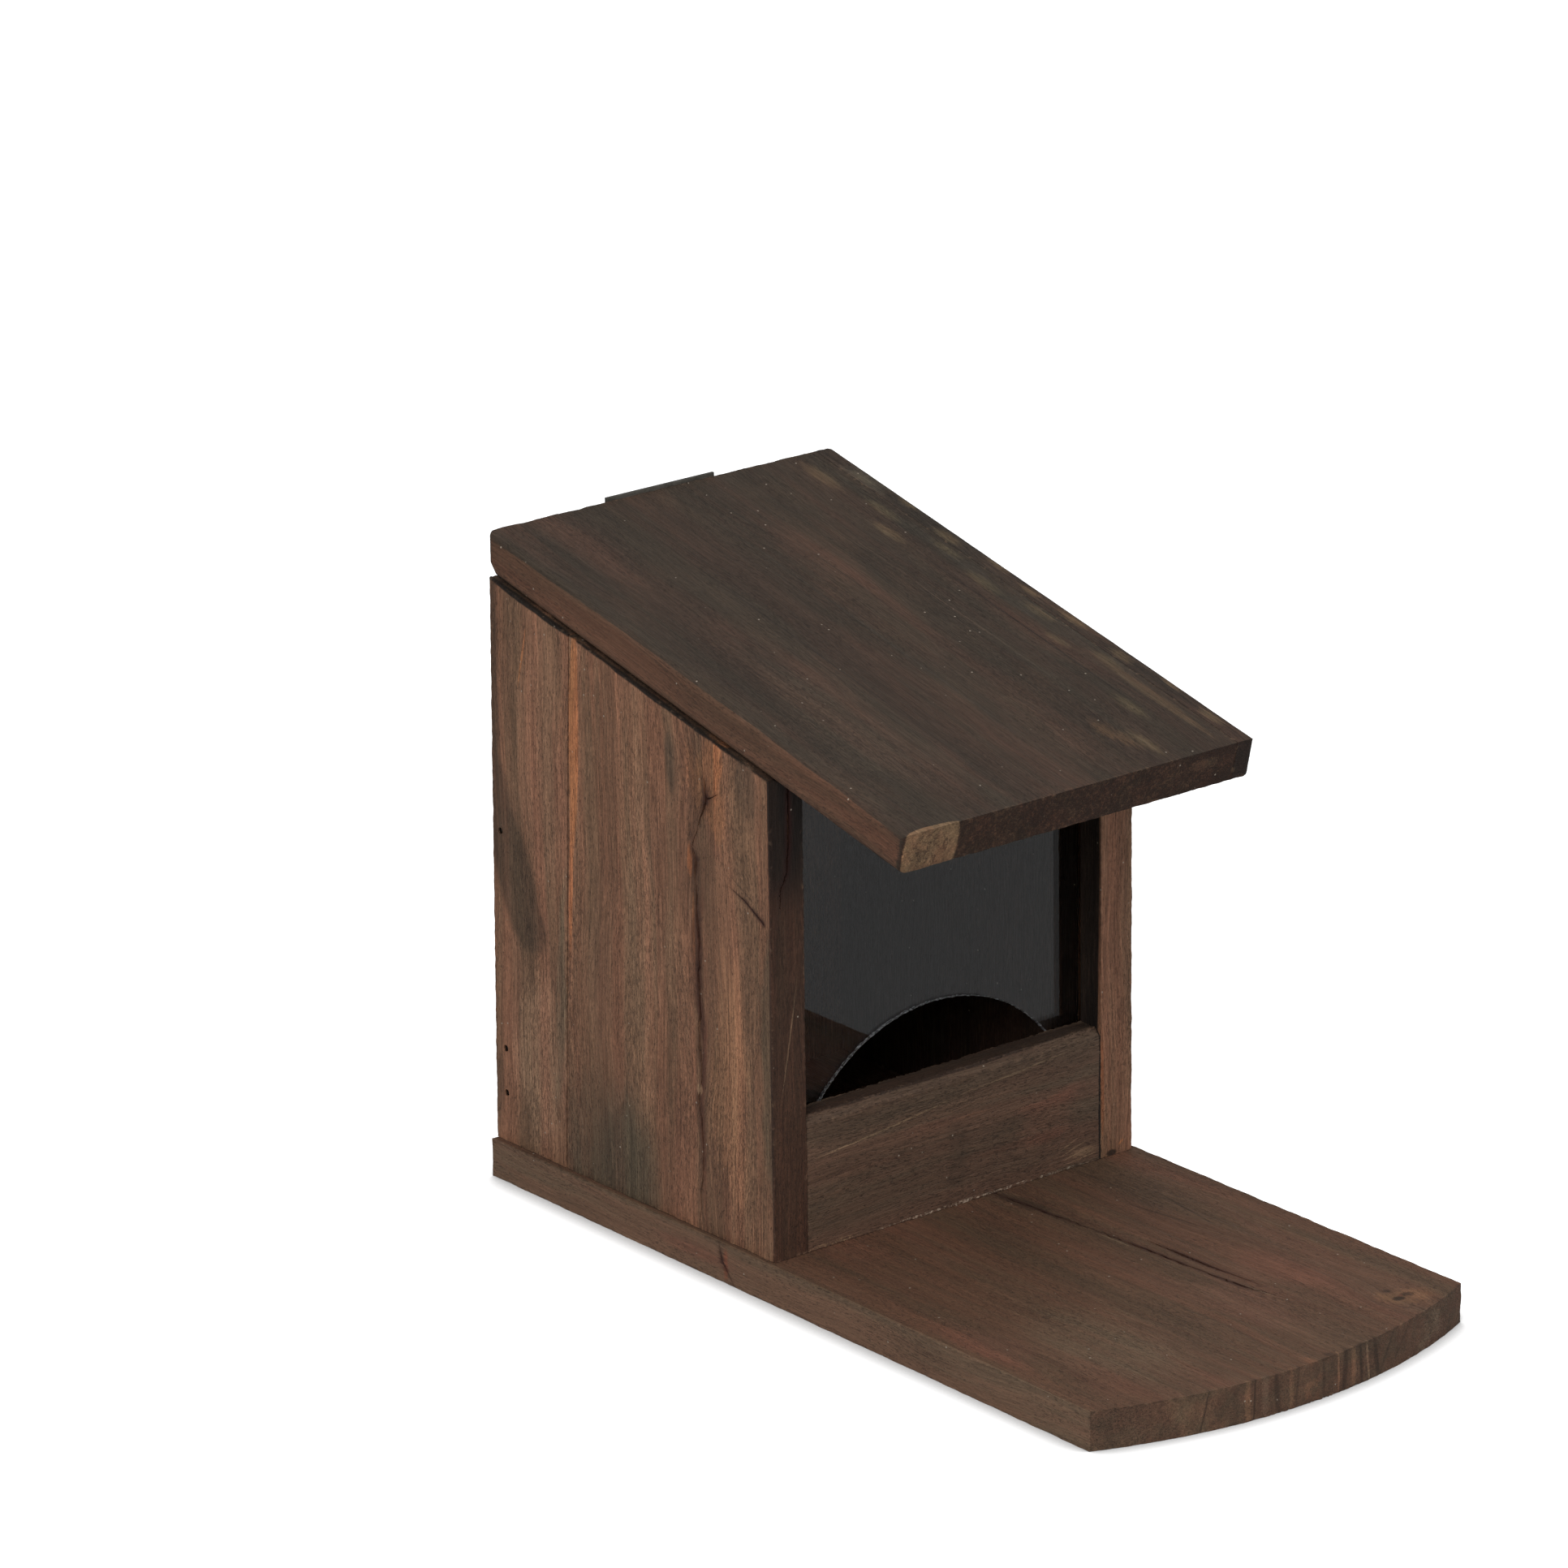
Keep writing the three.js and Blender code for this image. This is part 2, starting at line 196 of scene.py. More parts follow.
def named(name):
    """Names the object that an operator has just added, and puts its place into its mesh."""
    piece = bpy.context.object
    piece.name = name
    piece.data.name = name
    pick(piece)
    bpy.ops.object.transform_apply(location=True, rotation=True, scale=True)
    return piece


def add_block(name, low, high):
    bpy.ops.object.select_all(action="DESELECT")
    middle = (Vector(low) + Vector(high)) / 2
    bpy.ops.mesh.primitive_cube_add(size=1, location=middle, scale=Vector(high) - Vector(low))
    return named(name)


def add_rod(name, start, end, radius, sides=32):
    """A round rod from one point to another."""
    bpy.ops.object.select_all(action="DESELECT")
    start, end = Vector(start), Vector(end)
    along = end - start
    bpy.ops.mesh.primitive_cylinder_add(
        vertices=sides, radius=radius, depth=along.length, location=(start + end) / 2,
        rotation=along.to_track_quat("Z", "Y").to_euler())
    return named(name)


def finish_with(piece, kind, **settings):
    """Adds a modifier with these settings and applies it."""
    pick(piece)
    modifier = piece.modifiers.new(kind.lower(), kind)
    for key, value in settings.items():
        setattr(modifier, key, value)
    bpy.ops.object.modifier_apply(modifier=modifier.name)
    return piece


def discard(*pieces):
    for piece in pieces:
        bpy.data.objects.remove(piece)


def cut_away(piece, cutters):
    """Subtracts the cutters, which are used up."""
    for cutter in cutters:
        finish_with(piece, "BOOLEAN", object=cutter, operation="DIFFERENCE", solver="MANIFOLD")
    discard(*cutters)
    return piece


def corners_of(piece):
    places = np.empty(len(piece.data.vertices) * 3)
    piece.data.vertices.foreach_get("co", places)
    return places.reshape(-1, 3)


Plane = namedtuple("Plane", "point normal")
SAME_WAY = 0.99999


def hull_planes(node, least_area=2 * MM * MM, slack=0.05 * MM):
    """The flat outer faces of a CAD solid: all of the solid lies behind each of them."""
    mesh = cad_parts[node].data
    places = corners_of(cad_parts[node])
    planes = []
    for face in mesh.polygons:
        point, normal = np.array(face.center), np.array(face.normal)
        outer = ((places - point) @ normal).max() < slack
        known = any(plane.normal @ normal > SAME_WAY for plane in planes)
        if face.area > least_area and outer and not known:
            planes.append(Plane(point, normal))
    return planes


def trim_to(piece, planes):
    """Saws the block back to every plane that isn't already one of its own faces."""
    pick(piece)
    bpy.ops.object.mode_set(mode="EDIT")
    for plane in planes:
        if np.abs(plane.normal).max() > SAME_WAY:
            continue
        bpy.ops.mesh.select_all(action="SELECT")
        bpy.ops.mesh.bisect(
            plane_co=plane.point, plane_no=plane.normal, use_fill=True, clear_outer=True,
            threshold=MERGE_DISTANCE)
    bpy.ops.object.mode_set(mode="OBJECT")


def face_distances(places, planes, same_turn=math.cos(math.radians(10))):
    """Each point's distance to each side of the board; planes that meet smoothly are one side."""
    sides = []
    for plane in planes:
        smooth_with = [any(plane.normal @ other.normal > same_turn for other in side) for side in sides]
        joined = [other for side, meets in zip(sides, smooth_with) if meets for other in side]
        sides = [side for side, meets in zip(sides, smooth_with) if not meets]
        sides.append([plane] + joined)
    return np.array([
        np.min([(plane.point - places) @ plane.normal for plane in side], axis=0) for side in sides])


def fade(distance, width):
    """1 at no distance, 0 at the given width, smooth in between."""
    share = np.clip(1 - distance / width, 0, 1)
    return share * share * (3 - 2 * share)


def edge_closeness(places, planes, width):
    return fade(np.sort(face_distances(places, planes), axis=0)[1], width)


def set_group(piece, name, weights, levels=24):
    """Stores weights as a vertex group, in steps fine enough for a displacement."""
    group = piece.vertex_groups.new(name=name)
    steps = np.rint(weights * levels).astype(int)
    for step in range(1, levels + 1):
        members = np.flatnonzero(steps == step)
        if len(members):
            group.add(members.tolist(), step / levels, "REPLACE")


def set_attribute(piece, name, values):
    attribute = piece.data.attributes.new(name, "FLOAT", "POINT")
    attribute.data.foreach_set("value", np.asarray(values, dtype=np.float32))


def press_in(piece, depth, size, seed, stretch=(1, 1, 1), group="", contrast=1.0, bright=1.0):
    """Dips the surface by up to a depth with a cloud pattern, stretched along the grain."""
    clouds = bpy.data.textures.new("dips", "CLOUDS")
    clouds.noise_scale = size
    clouds.noise_depth = 3
    clouds.contrast = contrast
    clouds.intensity = bright
    bpy.ops.object.empty_add(location=Vector((seed, seed * 0.7, seed * 1.3)) * size * 10)
    space = bpy.context.object
    space.scale = stretch
    bpy.context.view_layer.update()
    finish_with(
        piece, "DISPLACE", texture=clouds, texture_coords="OBJECT", texture_coords_object=space,
        strength=-depth, mid_level=0, vertex_group=group)
    discard(space)
    bpy.data.textures.remove(clouds)


def remesh(piece, fineness, fill=0.99):
    """Rebuilds a piece from squares of one size, and keeps its sharp edges."""
    length = max(piece.dimensions)
    levels = math.ceil(math.log2(length / fineness / fill))
    finish_with(
        piece, "REMESH", mode="SHARP", octree_depth=levels, scale=length / fineness / 2 ** levels,
        use_remove_disconnected=False)


def smooth(piece, angle=math.radians(40)):
    pick(piece)
    bpy.ops.object.shade_smooth_by_angle(angle=angle)
    return piece


# Boards


WAVE_SIZE = 22 * MM
RIDGE_SIZE = 1.1 * MM
RIDGE_STRETCH = 20
WEAR_SIZE = 0.9 * MM
NICK_SIZE = 4 * MM
CHIP_SIZE = 0.7 * MM

Crack = namedtuple("Crack", "path widths depth outward halo", defaults=(0.9 * MM,))
Knot = namedtuple("Knot", "place across along push")


def saw_board(name, node, seed, stretch, ragged=None, glued=None, rounded=None):
    """A board: a block sawn to the CAD solid's outer faces, with waves and worn edges.

    The edges round the face that looks in the ragged direction are chipped, those round the glued one
    stay crisp, and the two corners on the rounded one are rounded.
    """
    timber = bpy.context.scene.feeder_timber
    planes = hull_planes(node)
    piece = add_block(name, *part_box(node))
    trim_to(piece, planes)
    if rounded is not None:
        round_corners(piece, rounded, timber.corner_radius)
    area = sum(face.area for face in piece.data.polygons)
    remesh(piece, max(timber.finest, math.sqrt(area / timber.sawn_count)))
    keep_within(piece, planes)
    places = corners_of(piece)
    worn = edge_closeness(places, planes, timber.wear_width)
    if glued is not None:
        worn -= np.minimum(worn, facing_closeness(places, planes, glued, timber.wear_width))
    set_group(piece, "edges", worn)
    long_grain = [RIDGE_STRETCH if share > 1 else 1 for share in stretch]
    short_grain = [math.sqrt(share) for share in stretch]
    press_in(piece, timber.wave_depth, WAVE_SIZE, seed, stretch)
    press_in(piece, timber.ridge_depth, RIDGE_SIZE, seed + 1, long_grain)
    press_in(piece, timber.wear_depth, WEAR_SIZE, seed + 2, short_grain, group="edges")
    press_in(piece, timber.nick_depth, NICK_SIZE, seed + 3, group="edges", contrast=5, bright=0.05)
    if ragged is not None:
        set_group(piece, "chips", worn * facing_closeness(places, planes, ragged, timber.wear_width))
        press_in(piece, timber.chip_depth, CHIP_SIZE, seed + 4, group="chips", contrast=3, bright=0.7)
    keep_within(piece, planes)
    return piece


def round_corners(piece, side, radius, segments=6, short_share=0.2, level=0.01 * MM):
    """Rounds the two short edges of the board's face on one side."""
    pick(piece)
    bpy.ops.object.mode_set(mode="EDIT")
    bpy.ops.mesh.select_all(action="DESELECT")
    bpy.ops.object.mode_set(mode="OBJECT")
    corners = [corner.co for corner in piece.data.vertices]
    outermost = max(corner.dot(side) for corner in corners)
    outer = [edge for edge in piece.data.edges
             if all(corners[end].dot(side) > outermost - level for end in edge.vertices)]
    lengths = [(corners[edge.vertices[0]] - corners[edge.vertices[1]]).length for edge in outer]
    for edge, length in zip(outer, lengths):
        edge.select = length < short_share * max(lengths)
    bpy.ops.object.mode_set(mode="EDIT")
    bpy.ops.mesh.select_mode(type="EDGE")
    bpy.ops.mesh.bevel(offset=radius, segments=segments, affect="EDGES")
    bpy.ops.mesh.select_mode(type="VERT")
    bpy.ops.object.mode_set(mode="OBJECT")


def keep_within(piece, planes):
    """Moves what stands proud of the sawn faces back to them."""
    places = corners_of(piece)
    for plane in planes:
        proud = np.maximum((places - plane.point) @ plane.normal, 0)
        places -= proud[:, None] * plane.normal
    piece.data.vertices.foreach_set("co", places.ravel())
    piece.data.update()


def facing_closeness(places, planes, direction, width):
    """How close each point is to the face that looks in one direction."""
    facing = max(planes, key=lambda plane: plane.normal @ np.array(direction))
    return fade((facing.point - places) @ facing.normal, width)


def thin_out(piece, most):
    """Spends the triangles where the board has relief, and keeps no more of them than asked for."""
    count = sum(face.loop_total - 2 for face in piece.data.polygons)
    if count > most:
        finish_with(piece, "DECIMATE", ratio=most / count)


def along_path(path, share):
    """Points between the path's own points, as many as asked for."""
    path = np.array(path, dtype=float)
    marks = np.linspace(0, 1, len(path))
    return np.stack([np.interp(share, marks, path[:, axis]) for axis in range(path.shape[1])], axis=1)


def by_axis(outward, into, aside):
    """One value for the axis that a crack opens along, and another for the two axes across it."""
    return [into if abs(axis) > 0.5 else aside for axis in outward]


def crack_cutter(crack, seed, steps=60, wander=0.12):
    """A wandering wedge: a four-sided tube that tapers along the crack, stretched into the board."""
    length = np.linalg.norm(np.diff(np.array(crack.path), axis=0), axis=1).sum()
    jitter = wander * length / steps
    chance = np.random.default_rng(seed)
    share = np.linspace(0, 1, steps)
    jitters = by_axis(crack.outward, 0, jitter)
    middle = along_path(crack.path, share) + chance.normal(0, 1, (steps, 3)) * jitters
    widths = along_path(np.array(crack.widths)[:, None], share)[:, 0] * chance.uniform(0.6, 1.3, steps)
    curve = bpy.data.curves.new("crack", "CURVE")
    curve.dimensions = "3D"
    curve.bevel_depth = 1
    curve.bevel_resolution = 0
    curve.use_fill_caps = True
    spline = curve.splines.new("POLY")
    spline.points.add(steps - 1)
    for point, place, width in zip(spline.points, middle, widths):
        point.co = (*place, 1)
        point.radius = width / 2
    cutter = bpy.data.objects.new("crack", curve)
    bpy.context.scene.collection.objects.link(cutter)
    pick(cutter)
    bpy.ops.object.convert(target="MESH")
    cutter = bpy.context.object
    stretch = Vector(by_axis(crack.outward, crack.depth / (max(crack.widths) / 2), 1))
    bpy.ops.object.mode_set(mode="EDIT")
    bpy.ops.mesh.select_all(action="SELECT")
    bpy.ops.mesh.remove_doubles(threshold=MERGE_DISTANCE)
    bpy.ops.transform.resize(value=stretch, center_override=Vector(crack.path[0]))
    bpy.ops.mesh.normals_make_consistent(inside=False)
    bpy.ops.object.mode_set(mode="OBJECT")
    return cutter


def crack_closeness(places, cracks, steps=80, flatness=0.35):
    """1 on a crack, also on its walls, and fading to 0 away from it."""
    closeness = np.zeros(len(places))
    for crack in cracks:
        flatten = np.array(by_axis(crack.outward, flatness, 1))
        middle = along_path(crack.path, np.linspace(0, 1, steps))
        widths = along_path(np.array(crack.widths)[:, None], np.linspace(0, 1, steps))[:, 0]
        broad = widths / max(crack.widths)
        for place, share in zip(middle, broad):
            near = np.linalg.norm((places - place) * flatten, axis=1)
            closeness = np.maximum(closeness, share * np.exp(-((near / crack.halo) ** 2)))
    return closeness


def grain_bend(places, knots, across):
    """How far the grain is pushed aside, in metres, by the knots on a board."""
    bend = np.zeros(len(places))
    axis = "xyz".index(across)
    for knot in knots:
        apart = places - np.array(knot.place)
        reach = np.array([knot.along] * 3)
        reach[axis] = knot.across
        bend -= knot.push * apart[:, axis] * np.exp(-((apart / reach) ** 2).sum(axis=1))
    return bend


def rod_hole(node, outward, clearance=0.1 * MM, overrun=2 * MM):
    """A cutter for the hole of a straight fastener, from its CAD box, open to the outside."""
    low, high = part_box(node)
    middle = (low + high) / 2
    size = high - low
    axis = max(range(3), key=lambda i: abs(outward[i]))
    radius = min(size[i] for i in range(3) if i != axis) / 2 + clearance
    reach = Vector(outward) * (size[axis] / 2 + overrun)
    return add_rod("hole", middle - reach, middle + reach, radius)


# Materials


class Graph:
    """Adds nodes to a tree: each call sets the node's sockets and returns one of its outputs."""

    def __init__(self, tree):
        self.tree = tree

    def add(self, kind, sockets=None, output=0, **settings):
        made = self.tree.nodes.new("ShaderNode" + kind)
        for key, value in settings.items():
            setattr(made, key, value)
        self.fill(made, sockets or {})
        return made.outputs[output]

    def fill(self, made, sockets):
        for key, value in sockets.items():
            if isinstance(value, bpy.types.NodeSocket):
                self.tree.links.new(value, made.inputs[key])
            else:
                made.inputs[key].default_value = value

    def group(self, name, sockets):
        made = self.tree.nodes.new("ShaderNodeGroup")
        made.node_tree = bpy.data.node_groups[name]
        self.fill(made, sockets)
        return made.outputs

    def math(self, operation, first, second=0.0, third=0.0):
        return self.add("Math", {0: first, 1: second, 2: third}, operation=operation)

    def vector(self, operation, first, second=(0, 0, 0), output=0):
        return self.add("VectorMath", {0: first, 1: second}, output=output, operation=operation)

    def noise(self, place, stretch, detail=2.0, roughness=0.5, output="Factor"):
        """Cloudy noise whose cells measure 1 / stretch along each axis."""
        stretched = self.vector("MULTIPLY", place, stretch)
        sockets = {"Vector": stretched, "Scale": 1.0, "Detail": detail, "Roughness": roughness}
        return self.add("TexNoise", sockets, output=0 if output == "Factor" else 1)

    def remap(self, value, low, high, to_low=0.0, to_high=1.0):
        sockets = {"Value": value, "From Min": low, "From Max": high, "To Min": to_low, "To Max": to_high}
        return self.add("MapRange", sockets, interpolation_type="SMOOTHSTEP")

    def mix(self, factor, first, second, blend="MIX"):
        sockets = {0: factor, 6: first, 7: second}
        return self.add("Mix", sockets, output=2, data_type="RGBA", blend_type=blend)

    def mix_value(self, factor, first, second):
        return self.add("Mix", {0: factor, 2: first, 3: second}, data_type="FLOAT")


def new_group(name, inputs, outputs):
    """A shader node group with these sockets: its graph, its inputs and a way to fill its outputs."""
    tree = bpy.data.node_groups.new(name, "ShaderNodeTree")
    for label, kind, default in inputs:
        socket = tree.interface.new_socket(label, in_out="INPUT", socket_type="NodeSocket" + kind)
        socket.default_value = default
    for label, kind in outputs:
        tree.interface.new_socket(label, in_out="OUTPUT", socket_type="NodeSocket" + kind)
    graph = Graph(tree)
    given = tree.nodes.new("NodeGroupInput").outputs
    handed = tree.nodes.new("NodeGroupOutput")
    return graph, given, lambda sockets: graph.fill(handed, sockets)


def linear(tone, level=1.0):
    """A colour as the eye names it, made linear for a shader, brighter or darker by a level."""
    bent = [c / 12.92 if c <= 0.04045 else ((c + 0.055) / 1.055) ** 2.4 for c in tone]
    return (*[min(c * level, 1) for c in bent], 1)


def build_wood_grain():
    """Grain of a sawn board. Vector is in millimetres with the grain along Z."""
    graph, given, hand_out = new_group(
        "wood_grain",
        [("Vector", "Vector", (0, 0, 0)), ("Bend", "Float", 0), ("Seed", "Float", 0),
         ("Pith", "Vector", (0, 40, 0)), ("Ring Gap", "Float", 3)],
        [("Tone", "Float"), ("Rings", "Float"), ("Fibre", "Float"), ("Pores", "Float"),
         ("Blotch", "Float"), ("Warmth", "Float"), ("Hue", "Float"), ("Specks", "Float"),
         ("Height", "Float")])
    shift = graph.add("CombineXYZ", {0: given["Bend"], 1: given["Seed"], 2: given["Seed"]})
    place = graph.vector("ADD", given["Vector"], shift)
    wander = graph.noise(place, (0.03, 0.03, 0.014), detail=2, output="Color")
    wander = graph.vector("SUBTRACT", wander, (0.5, 0.5, 0.5))
    place = graph.vector("ADD", place, graph.vector("MULTIPLY", wander, (8, 8, 0)))
    bands = graph.noise(place, (0.12, 0.12, 0.004), detail=3, roughness=0.6)
    hairs = graph.noise(place, (1.3, 1.3, 0.012), detail=3, roughness=0.85)
    fibre = graph.noise(place, (2.6, 2.6, 0.10), detail=2, roughness=0.7)
    grit = graph.noise(place, (1.9, 1.9, 0.9), detail=3, roughness=0.8)
    hue = graph.noise(graph.vector("ADD", place, (17, 51, 23)), (0.14, 0.14, 0.005), detail=3, roughness=0.6)
    from_pith = graph.vector("MULTIPLY", graph.vector("SUBTRACT", place, given["Pith"]), (1, 1, 0.012))
    radius = graph.vector("LENGTH", from_pith, output=1)
    uneven = graph.noise(place, (0.11, 0.11, 0.004), detail=2)
    turns = graph.math("DIVIDE", radius, given["Ring Gap"])
    turns = graph.math("ADD", turns, graph.math("MULTIPLY", uneven, 2.4))
    phase = graph.math("FRACT", turns)
    rings = graph.math("MULTIPLY", graph.remap(phase, 0.30, 0.92), graph.remap(phase, 1.0, 0.95))
    dashes = graph.noise(place, (3.2, 3.2, 0.55), detail=2, roughness=0.6)
    crowd = graph.noise(place, (0.07, 0.07, 0.02), detail=1)
    pores = graph.remap(graph.math("MULTIPLY_ADD", crowd, 0.34, dashes), 0.76, 0.82)
    blotch = graph.noise(place, (0.04, 0.04, 0.018), detail=4, roughness=0.62)
    warmth = graph.noise(graph.vector("ADD", place, (71, 13, 37)), (0.07, 0.07, 0.014), detail=3)
    cells = graph.add("TexVoronoi", {"Vector": given["Vector"], "Scale": 0.24}, output="Distance")
    luck = graph.noise(given["Vector"], (0.31, 0.31, 0.31), detail=0)
    specks = graph.math("MULTIPLY", graph.remap(cells, 0.075, 0.04), graph.remap(luck, 0.50, 0.53))
    tone = graph.math("MULTIPLY", bands, 0.22)
    tone = graph.math("MULTIPLY_ADD", hairs, 0.33, tone)
    tone = graph.math("MULTIPLY_ADD", fibre, 0.22, tone)
    tone = graph.math("MULTIPLY_ADD", grit, 0.23, tone)
    height = graph.math("MULTIPLY", hairs, 0.5)
    height = graph.math("MULTIPLY_ADD", fibre, 0.35, height)
    height = graph.math("MULTIPLY_ADD", grit, 0.35, height)
    height = graph.math("MULTIPLY_ADD", pores, -0.5, height)
    hand_out({"Tone": tone, "Rings": rings, "Fibre": fibre, "Pores": pores, "Blotch": blotch,
              "Warmth": warmth, "Hue": hue, "Specks": specks, "Height": height})


def build_stain_patch():
    """A soft spot laid over the stain, with its own place, turn and half sizes: most are stain, a few are
    painted shade.
    """
    graph, given, hand_out = new_group(
        "stain_and_shade_patch",
        [("Vector", "Vector", (0, 0, 0)), ("Place", "Vector", (0, 0, 0)), ("Turn", "Vector", (0, 0, 0)),
         ("Reach", "Vector", (1, 1, 1)), ("Core", "Float", 0.3)],
        [("Mask", "Float")])
    sockets = {"Vector": given["Vector"], "Location": given["Place"], "Rotation": given["Turn"],
               "Scale": given["Reach"]}
    own = graph.add("Mapping", sockets, vector_type="TEXTURE")
    hand_out({"Mask": graph.remap(graph.vector("LENGTH", own, output=1), 1.0, given["Core"])})


Patch = namedtuple(
    "Patch", "place reach tone strength core turn speckled", defaults=(0.15, (0, 0, 0), False))
Stain = namedtuple(
    "Stain", "tone turn along seed pith ring_gap rings contrast blotch warmth end_tone end_rings patches",
    defaults=((),))


def about_x(degrees):
    return math.radians(degrees), 0, 0


def about_y(degrees):
    return 0, math.radians(degrees), 0


def about_z(degrees):
    return 0, 0, math.radians(degrees)


def roof_pitch():
    """The slope of the lid's top, in degrees."""
    top = max(hull_planes("lid_main_board"), key=lambda plane: plane.normal[2]).normal
    return math.degrees(math.atan2(-top[1], top[2]))


GRAIN_UP_SIDE = about_z(90)
GRAIN_UP = (0, 0, 0)
GRAIN_TO_REAR = about_x(90)
GRAIN_TO_RIGHT = about_y(-90)
GRAIN_ALONG_ROOF = about_x(90 - roof_pitch())
ROOF_LEAN = about_x(roof_pitch())
ALONG_ROOF = Euler(ROOF_LEAN).to_matrix() @ REAR

TAN = (0.52, 0.385, 0.29)
GREY_TAN = (0.42, 0.34, 0.28)
WARM_TAN = (0.45, 0.31, 0.23)
ORANGE = (0.63, 0.41, 0.275)
REDDISH = (0.43, 0.29, 0.235)
UMBER = (0.30, 0.225, 0.175)
DARK = (0.17, 0.12, 0.09)
PALE = (0.62, 0.50, 0.40)
CRACK_HALO = (0.20, 0.075, 0.05)
SHADED = (0.07, 0.05, 0.04)
# Painted shade: the dark gap under the lid, laid along the tops of the side boards.
UNDER_LID_SHADE = (0.11, 0.08, 0.06)
DUST = (0.66, 0.61, 0.55)
STRAW = (0.50, 0.41, 0.325)
OLIVE = (0.37, 0.31, 0.23)
GREENER = (0.94, 1.0, 0.94, 1)
REDDER = (1.09, 0.98, 0.92, 1)
NARROW = 2 * MM
LOOSE_WANDER = (16 * MM, 16 * MM, 30 * MM)
TIGHT_WANDER = (1.2 * MM, 1.2 * MM, 1.2 * MM)
END_CONTRAST = 1.5
SHADE_GAIN = 15


def new_material(name):
    material = bpy.data.materials.new(name)
    material.use_nodes = True
    material.node_tree.nodes.clear()
    return material, Graph(material.node_tree)


def close_material(graph, sockets):
    """The surface shader and the output, with the constant values set on the shader's own sockets."""
    shader = graph.add("BsdfPrincipled", sockets)
    graph.add("OutputMaterial", {"Surface": shader}, output=slice(0, 0))


def stained_wood(name, stain):
    """Dark stained timber: grain, end grain, placed patches (a few of them painted shade), cracks, worn
    edges and specks of dust.
    """
    timber = bpy.context.scene.feeder_timber
    material, graph = new_material(name)
    place = graph.add("TexCoord", output=3)
    grain = graph.add(
        "Mapping", {"Vector": place, "Rotation": stain.turn, "Scale": (1 / MM, 1 / MM, 1 / MM)})
    bend = graph.add("Attribute", output=2, attribute_name="bend")
    crack = graph.add("Attribute", output=2, attribute_name="crack")
    edge = graph.add("Attribute", output=2, attribute_name="edge")
    wood = graph.group("wood_grain", {
        "Vector": grain, "Bend": graph.math("MULTIPLY", bend, 1 / MM), "Seed": stain.seed,
        "Pith": stain.pith, "Ring Gap": stain.ring_gap})
    colour = graph.mix(graph.remap(wood["Blotch"], 0.45, 0.68, 0, stain.blotch), linear(stain.tone),
                       linear(UMBER))
    colour = graph.mix(graph.remap(wood["Warmth"], 0.50, 0.70, 0, stain.warmth), colour, linear(REDDISH))
    facing = graph.vector("DOT_PRODUCT", graph.add("TexCoord", output=1), stain.along, output=1)
    end = graph.remap(graph.math("ABSOLUTE", facing), 0.55, 0.80)
    colour = graph.mix(end, colour, linear(stain.end_tone))
    colour = paint_patches(graph, colour, place, grain, wood, stain.patches)
    tint = graph.mix(graph.remap(wood["Hue"], 0.36, 0.64), GREENER, REDDER)
    colour = graph.mix(1.0, colour, tint, "MULTIPLY")
    wide = graph.remap(end, 0, 1, stain.contrast, stain.contrast * END_CONTRAST)
    shade = graph.math("POWER", math.e, graph.math(
        "MULTIPLY", graph.math("SUBTRACT", wood["Tone"], 0.5), graph.math("MULTIPLY", wide, SHADE_GAIN)))
    colour = graph.mix(1.0, colour, graph.add("CombineColor", {0: shade, 1: shade, 2: shade}), "MULTIPLY")
    ring_depth = graph.remap(end, 0, 1, stain.rings, stain.end_rings)
    colour = graph.mix(graph.math("MULTIPLY", wood["Rings"], ring_depth), colour, linear(DARK, 0.7))
    pores = graph.math("MULTIPLY", wood["Pores"], timber.pore_strength)
    colour = graph.mix(pores, colour, linear(DARK, 0.7))
    cracked = graph.remap(crack, 0, 1, 0, timber.crack_strength)
    colour = graph.mix(cracked, colour, linear(CRACK_HALO, 0.7))
    grime = graph.noise(grain, (0.5, 0.5, 0.5), detail=4, roughness=0.7)
    darker = graph.math("MULTIPLY", edge, graph.remap(grime, 0.46, 0.66, 0, timber.grime_strength))
    paler = graph.math("MULTIPLY", edge, graph.remap(grime, 0.46, 0.34, 0, timber.rub_strength))
    colour = graph.mix(darker, colour, linear(DARK))
    colour = graph.mix(paler, colour, linear(PALE))
    dust = graph.math("MULTIPLY", wood["Specks"], timber.dust_strength)
    colour = graph.mix(dust, colour, linear(DUST))
    rough = graph.remap(wood["Fibre"], 0.3, 0.7, 0.80, 0.56)
    bump = graph.add("Bump", {"Distance": timber.grain_relief, "Height": wood["Height"]})
    close_material(graph, {
        "Base Color": colour, "Roughness": rough, "Normal": bump, "Specular IOR Level": 0.3})
    return material


